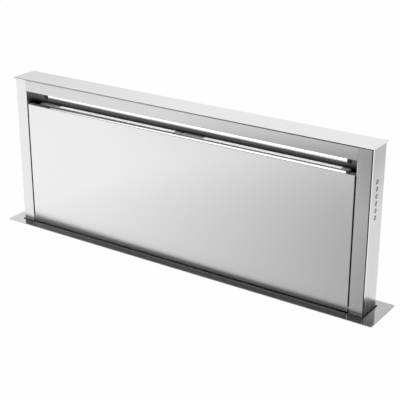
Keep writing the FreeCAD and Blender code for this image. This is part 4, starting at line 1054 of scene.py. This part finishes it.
frames, pack = bmesh.new(), bmesh.new()
inner_y = (FILTER_Y[0] + SHEET, FILTER_Y[1] - SHEET)
grip_z = sum(FILTER_Z) / 2
for side, (x0, x1) in FILTER_SPANS.items():
    window = (x0 + GRIP_BAND, x1 - RIM_BAND, FILTER_Z[0] + RIM_BAND, FILTER_Z[1] - RIM_BAND)
    crest_x = (x0 + GRIP_BAND, x1 - RIM_BAND - SHEET)
    for y0, y1 in ((FILTER_Y[0], inner_y[0]), (inner_y[1], FILTER_Y[1])):
        upright_ring(frames, (x0, x1, *FILTER_Z), window, y0, y1)
    for wall_x0, wall_x1, z0, z1 in (
            (x0, x0 + SHEET, *FILTER_Z), (x1 - SHEET, x1, *FILTER_Z),
            (x0 + SHEET, x1 - SHEET, FILTER_Z[0], FILTER_Z[0] + SHEET),
            (x0 + SHEET, crest_x[0], FILTER_Z[1] - SHEET, FILTER_Z[1]),
            (crest_x[1], x1 - SHEET, FILTER_Z[1] - SHEET, FILTER_Z[1])):
        slab(frames, (wall_x0, inner_y[0], z0), (wall_x1, inner_y[1], z1))
    pocket = (x0 + GRIP_X[0], x0 + GRIP_X[1], grip_z - GRIP_HALF, grip_z + GRIP_HALF)
    lip = [edge + way * GRIP_LIP for edge, way in zip(pocket, (1, -1, 1, -1))]
    upright_ring(frames, pocket, lip, FILTER_Y[0] - 0.0008, FILTER_Y[0])
    pack_x = (window[0] - RIM_BAND + SHEET, window[1] + RIM_BAND - 2 * SHEET)
    width = pack_x[1] - pack_x[0]
    columns = int(width / CRIMP)
    for layer in range(PACK_LAYERS):
        grid = bmesh.ops.create_grid(pack, x_segments=columns, y_segments=1, size=0.5)["verts"]
        bmesh.ops.scale(pack, vec=(width, PACK_Z[1] - PACK_Z[0], 1.0), verts=grid)
        bmesh.ops.rotate(pack, verts=grid, matrix=UPRIGHT)
        bmesh.ops.translate(pack, verts=grid, vec=(sum(pack_x) / 2, PACK_FRONT_Y + layer * PACK_PITCH,
                                                   sum(PACK_Z) / 2))
        for vert in grid:
            column = round((vert.co.x - pack_x[0]) / width * columns)
            vert.co.y += CRIMP_RISE * (1 if (column + layer) % 2 else -1)
        bmesh.ops.solidify(pack, geom=list({f for v in grid for f in v.link_faces}), thickness=PACK_SHEET)
    face = expanded((window[1] - window[0] + 2 * FACE_LAP, window[3] - window[2] + 2 * FACE_LAP), DIAMOND,
                    STRAND, UPRIGHT, ((window[0] + window[1]) / 2, FACE_Y, (window[2] + window[3]) / 2))
    finish_piece(f"filter_face_{side}", face, mesh_metal, "filter_meshes")
    crest = expanded((crest_x[1] - crest_x[0], inner_y[1] - inner_y[0]), TOP_DIAMOND, TOP_STRAND,
                     Matrix.Identity(3), (sum(crest_x) / 2, sum(inner_y) / 2, FILTER_Z[1] - TOP_STRAND))
    finish_piece(f"filter_crest_{side}", crest, crest_painted_glow, "filter_meshes")
soften(frames, 0.0002)
finish_piece("filter_channels", frames, cassette, "filter_frames")
finish_piece("filter_packs", pack, mesh_metal, "filter_meshes")


# ---------------- light
# A dark housing across the slot carries a strip of lamps behind an opal lens. The lens is
# extruded with upright flutes that spread the light, and has a black cap on each end.
FLUTE = 0.005
FLUTE_DEPTH = 0.0008
LENS_CAP = 0.0099
HOUSING_PAINTED_SHADE_Z = (0.2730, 0.2800)
LENS_LIT_Z = (0.2795, 0.2845)
LENS_LIT_SLOPE = 0.003
# The housing is dark paint with the lens's light painted on it: grey near the lens, near black below.
painted_light_housing, tree, shader, where = shade("dark_paint_with_painted_light", (0.035, 0.035, 0.04), 0.32)
tint(tree, shader, spread(tree, apart(tree, where)["Z"], 0.3, 0.7, *HOUSING_PAINTED_SHADE_Z),
     (0.006, 0.006, 0.007), (0.20, 0.20, 0.205))
peel = grain(tree, where, 600.0)
shine(tree, shader, peel, 0.30, 0.46)
relief(tree, shader, peel, 0.00006)
edged("light_housing", painted_light_housing, 0.0004)

# The lens glows by its own material, painted bright above a line that falls slightly to the right and more
# on each flute. Below the line its colour is painted dark as shade.
opal, tree, shader, where = shade("opal_lens", (0.92, 0.93, 0.94), 0.22)
haze = grain(tree, where, (900.0, 300.0, 700.0), 2.0)
place = apart(tree, where)
lit = spread(tree, worked_out(tree, "MULTIPLY_ADD", place["X"], LENS_LIT_SLOPE, place["Z"]), 0.0, 1.0,
             *LENS_LIT_Z)
shaded = worked_out(tree, "MULTIPLY", spread(tree, haze, 0.9, 1.0), lit)
tint(tree, shader, spread(tree, shaded, 0.3, 0.7, 0.0, 1.0), (0.10, 0.10, 0.11), (0.94, 0.95, 0.96))
flute_wave = worked_out(tree, "PINGPONG", place["X"], FLUTE / 2)
glow = worked_out(tree, "MULTIPLY", spread(tree, flute_wave, 0.6, 1.0, 0.0, FLUTE / 3),
                  spread(tree, lit, 0.05, 1.20, 0.0, 1.0))
shader.inputs["Emission Color"].default_value = (1.0, 1.0, 1.0, 1.0)
tree.links.new(glow, shader.inputs["Emission Strength"])
low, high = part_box("light_diffuser")
bm = eased("light_diffuser", 0.0004)
flutes = int((high.x - low.x) / FLUTE)
for n in range(1, 2 * flutes):
    cut = cut_across(bm, 0, low.x + n * (high.x - low.x) / (2 * flutes))
    if n % 2:
        for vert in verts_in(cut):
            if vert.co.y < low.y + 0.001:
                vert.co.y += FLUTE_DEPTH
for face in bm.faces:
    x = face.calc_center_median().x
    face.material_index = 0 if low.x + LENS_CAP < x < high.x - LENS_CAP else 1
finish_piece("fluted_lens", bm, (opal, black_moulding), "light_diffuser")
lamp_board = mottled("lamp_board", (0.78, 0.78, 0.75), (0.90, 0.90, 0.87), 90.0, 0.4, 0.0)
edged("led_strip", lamp_board, 0.0001)


# ---------------- control keys
# Six round keys in the right stile: a moulded rim, painted black as shade, round a satin steel button. They
# stand on switches on a small board, in a moulded guide behind the stile's face.
KEYS = 6
KEY_R = 0.0040
KEY_BUTTON_R = 0.0018
KEY_STEM = 0.005
KEY_PROFILE = [(0.0, 0.0), (0.0038, 0.0), (KEY_R, 0.0002), (KEY_R, 0.0055), (0.00385, 0.0059),
               (0.0034, 0.0060), (0.0020, 0.0057), (0.00185, 0.0050), (0.00175, 0.0057), (0.0014, 0.0059),
               (0.0008, 0.0060), (0.0, 0.0060)]
# The rim's black is painted shade round each button.
key_rim_painted_shade = mottled("key_rim_painted_shade", (0.014, 0.014, 0.016), (0.03, 0.03, 0.033), 1200.0, 0.3, 0.00003)
key_button = mottled("key_button", (0.68, 0.68, 0.69), (0.78, 0.78, 0.79), (300.0, 2500.0, 2500.0), 0.25,
                     0.00001, 1.0)
for n in range(1, KEYS + 1):
    low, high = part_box(f"key_{n}")
    middle = (low + high) / 2
    bm = bmesh.new()
    lathe(bm, KEY_PROFILE, (low.x, middle.y, middle.z), RIGHT, 32)
    for face in bm.faces:
        at = face.calc_center_median()
        from_axis = math.hypot(at.y - middle.y, at.z - middle.z)
        face.material_index = 1 if at.x > low.x + KEY_STEM and from_axis < KEY_BUTTON_R else 0
    finish_piece(f"key_{n}_button", bm, (key_rim_painted_shade, key_button), f"key_{n}")
edged("key_guide", black_moulding, 0.0002)
edged("key_board", solder_green, 0.0002)


# ---------------- worktop and floor
# The worktop is a pale sheet at the flange's level with the unit's cut-out in it, reaching towards
# the front. The kitchen floor lies under the levelling feet.
WORKTOP_X, WORKTOP_Y, WORKTOP_Z = (-1.9, 2.2), (-2.0, 0.046), -0.0001
CUT_OUT_HALF = (0.424, 0.040)
FLOOR_REACH = (-9.0, 9.0)
FEET_LEVEL = -0.7452
WORKTOP_DIMMING = (1.03, 0.10, -0.45, 1.05)
FLOOR_DIMMING = (1.0, 1.0, -1.0, 1.0)


def pale(name, dimming):
    """White to the camera with a faint shadow, clear from below, and a painted reflection in the steel that
    dims along X.
    """
    material = bpy.data.materials.new(name)
    material.use_nodes = True
    tree = material.node_tree
    tree.nodes.clear()

    def mixed(share, first, second):
        mix = tree.nodes.new("ShaderNodeMixShader")
        for value, socket in zip((share, first, second), mix.inputs):
            tree.links.new(value, socket)
        return mix.outputs["Shader"]

    path = tree.nodes.new("ShaderNodeLightPath").outputs
    sheet = tree.nodes.new("ShaderNodeBsdfDiffuse")
    sheet.inputs["Color"].default_value = colour(0.90)
    white = tree.nodes.new("ShaderNodeEmission").outputs["Emission"]
    mirrored = tree.nodes.new("ShaderNodeEmission")
    where = tree.nodes.new("ShaderNodeTexCoord").outputs["Object"]
    # What the steel mirrors of the sheet is a painted reflection, dimmed along X.
    tree.links.new(spread(tree, apart(tree, where)["X"], *dimming), mirrored.inputs["Color"])
    seen = mixed(worked_out(tree, "MULTIPLY", path["Is Camera Ray"], 0.96), sheet.outputs["BSDF"], white)
    above = mixed(path["Is Glossy Ray"], seen, mirrored.outputs["Emission"])
    below = tree.nodes.new("ShaderNodeBsdfTransparent").outputs["BSDF"]
    surface = mixed(tree.nodes.new("ShaderNodeNewGeometry").outputs["Backfacing"], above, below)
    tree.links.new(surface, tree.nodes.new("ShaderNodeOutputMaterial").inputs["Surface"])
    return material


def staged(name, bm, material):
    """Puts a mesh in the scene as a part of the set."""
    mesh = bpy.data.meshes.new(name)
    bm.to_mesh(mesh)
    bm.free()
    mesh.materials.append(material)
    thing = bpy.data.objects.new(name, mesh)
    bpy.context.collection.objects.link(thing)
    thing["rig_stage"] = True
    return thing


def flat_sheet(x, y, z):
    bm = bmesh.new()
    grid = bmesh.ops.create_grid(bm, x_segments=1, y_segments=1, size=0.5)["verts"]
    bmesh.ops.scale(bm, vec=(x[1] - x[0], y[1] - y[0], 1.0), verts=grid)
    bmesh.ops.translate(bm, vec=(sum(x) / 2, sum(y) / 2, z), verts=grid)
    return bm


bm = flat_sheet(WORKTOP_X, WORKTOP_Y, WORKTOP_Z)
for axis, sign in ((0, -1), (0, 1), (1, -1), (1, 1)):
    cut_across(bm, axis, CUT_OUT_HALF[axis], sign)
inside = [f for f in bm.faces if abs(f.calc_center_median().x) < CUT_OUT_HALF[0]
          and abs(f.calc_center_median().y) < CUT_OUT_HALF[1]]
bmesh.ops.delete(bm, geom=inside, context="FACES")
staged("worktop", bm, pale("worktop_pale", WORKTOP_DIMMING)).visible_shadow = False
staged("kitchen_floor", flat_sheet(FLOOR_REACH, FLOOR_REACH, FEET_LEVEL), pale("floor_pale", FLOOR_DIMMING))


# ---------------- cards
# Two dark cards, which only the steel sees, stand far off at the front left and the back right.
# The flange mirrors them into the feet of the panel and of the right stile.
CARDS = {"front_card": ((-5.5, -2.6), (0.60, -2.6)), "back_card": ((1.3, 2.6), (3.2, 2.0))}
CARD_FOOT_Z, CARD_TOP_Z = 0.62, 5.0
card_black = shade("card_black", 0.10, 1.0)[0]
for name, ends in CARDS.items():
    bm = bmesh.new()
    foot = [bm.verts.new((*end, CARD_FOOT_Z)) for end in ends]
    sheet = bmesh.ops.extrude_edge_only(bm, edges=[bm.edges.new(foot)])["geom"]
    bmesh.ops.translate(bm, vec=(0.0, 0.0, CARD_TOP_Z - CARD_FOOT_Z), verts=verts_in(sheet))
    card = staged(name, bm, card_black)
    card.visible_camera = card.visible_diffuse = card.visible_shadow = card.visible_transmission = False


# ---------------- light and camera
# An even sky, which is full white to the camera and in the steel, and two large soft lamps that
# the steel doesn't mirror. The camera looks down from the front right.
SKY_LEVEL = 0.80
LAMPS = (("key_lamp", (-1.8, -2.2, 2.6), 22.0), ("fill_lamp", (2.4, 0.8, 2.0), 10.0))
LAMP_SIZE = 1.6
AIM = Vector((0.0, 0.0, 0.15))
world = bpy.data.worlds.new("studio")
bpy.context.scene.world = world
world.use_nodes = True
tree = world.node_tree
path = tree.nodes.new("ShaderNodeLightPath").outputs
bright = worked_out(tree, "MAXIMUM", path["Is Camera Ray"], path["Is Glossy Ray"])
tree.links.new(spread(tree, bright, SKY_LEVEL, 1.0, 0.0, 1.0), tree.nodes["Background"].inputs["Strength"])
tree.nodes["Background"].inputs["Color"].default_value = (1.0, 1.0, 1.0, 1.0)

for name, place, power in LAMPS:
    lamp = bpy.data.lights.new(name, "AREA")
    lamp.size = LAMP_SIZE
    lamp.energy = power
    stand = bpy.data.objects.new(name, lamp)
    stand.location = place
    stand.rotation_euler = (AIM - Vector(place)).to_track_quat("-Z", "Y").to_euler()
    stand.visible_glossy = False
    bpy.context.collection.objects.link(stand)

camera = bpy.data.cameras.new("camera")
camera.sensor_width = 36.0
camera.lens = 94.23
camera.clip_start, camera.clip_end = 0.01, 50.0
eye = bpy.data.objects.new("camera", camera)
eye.location = (1.110, -1.578, 0.907)
eye.rotation_euler = (math.radians(90.0 - 21.96), 0.0, math.radians(34.19))
bpy.context.collection.objects.link(eye)
bpy.context.scene.camera = eye
bpy.context.scene.view_settings.view_transform = "Standard"

low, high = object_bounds()
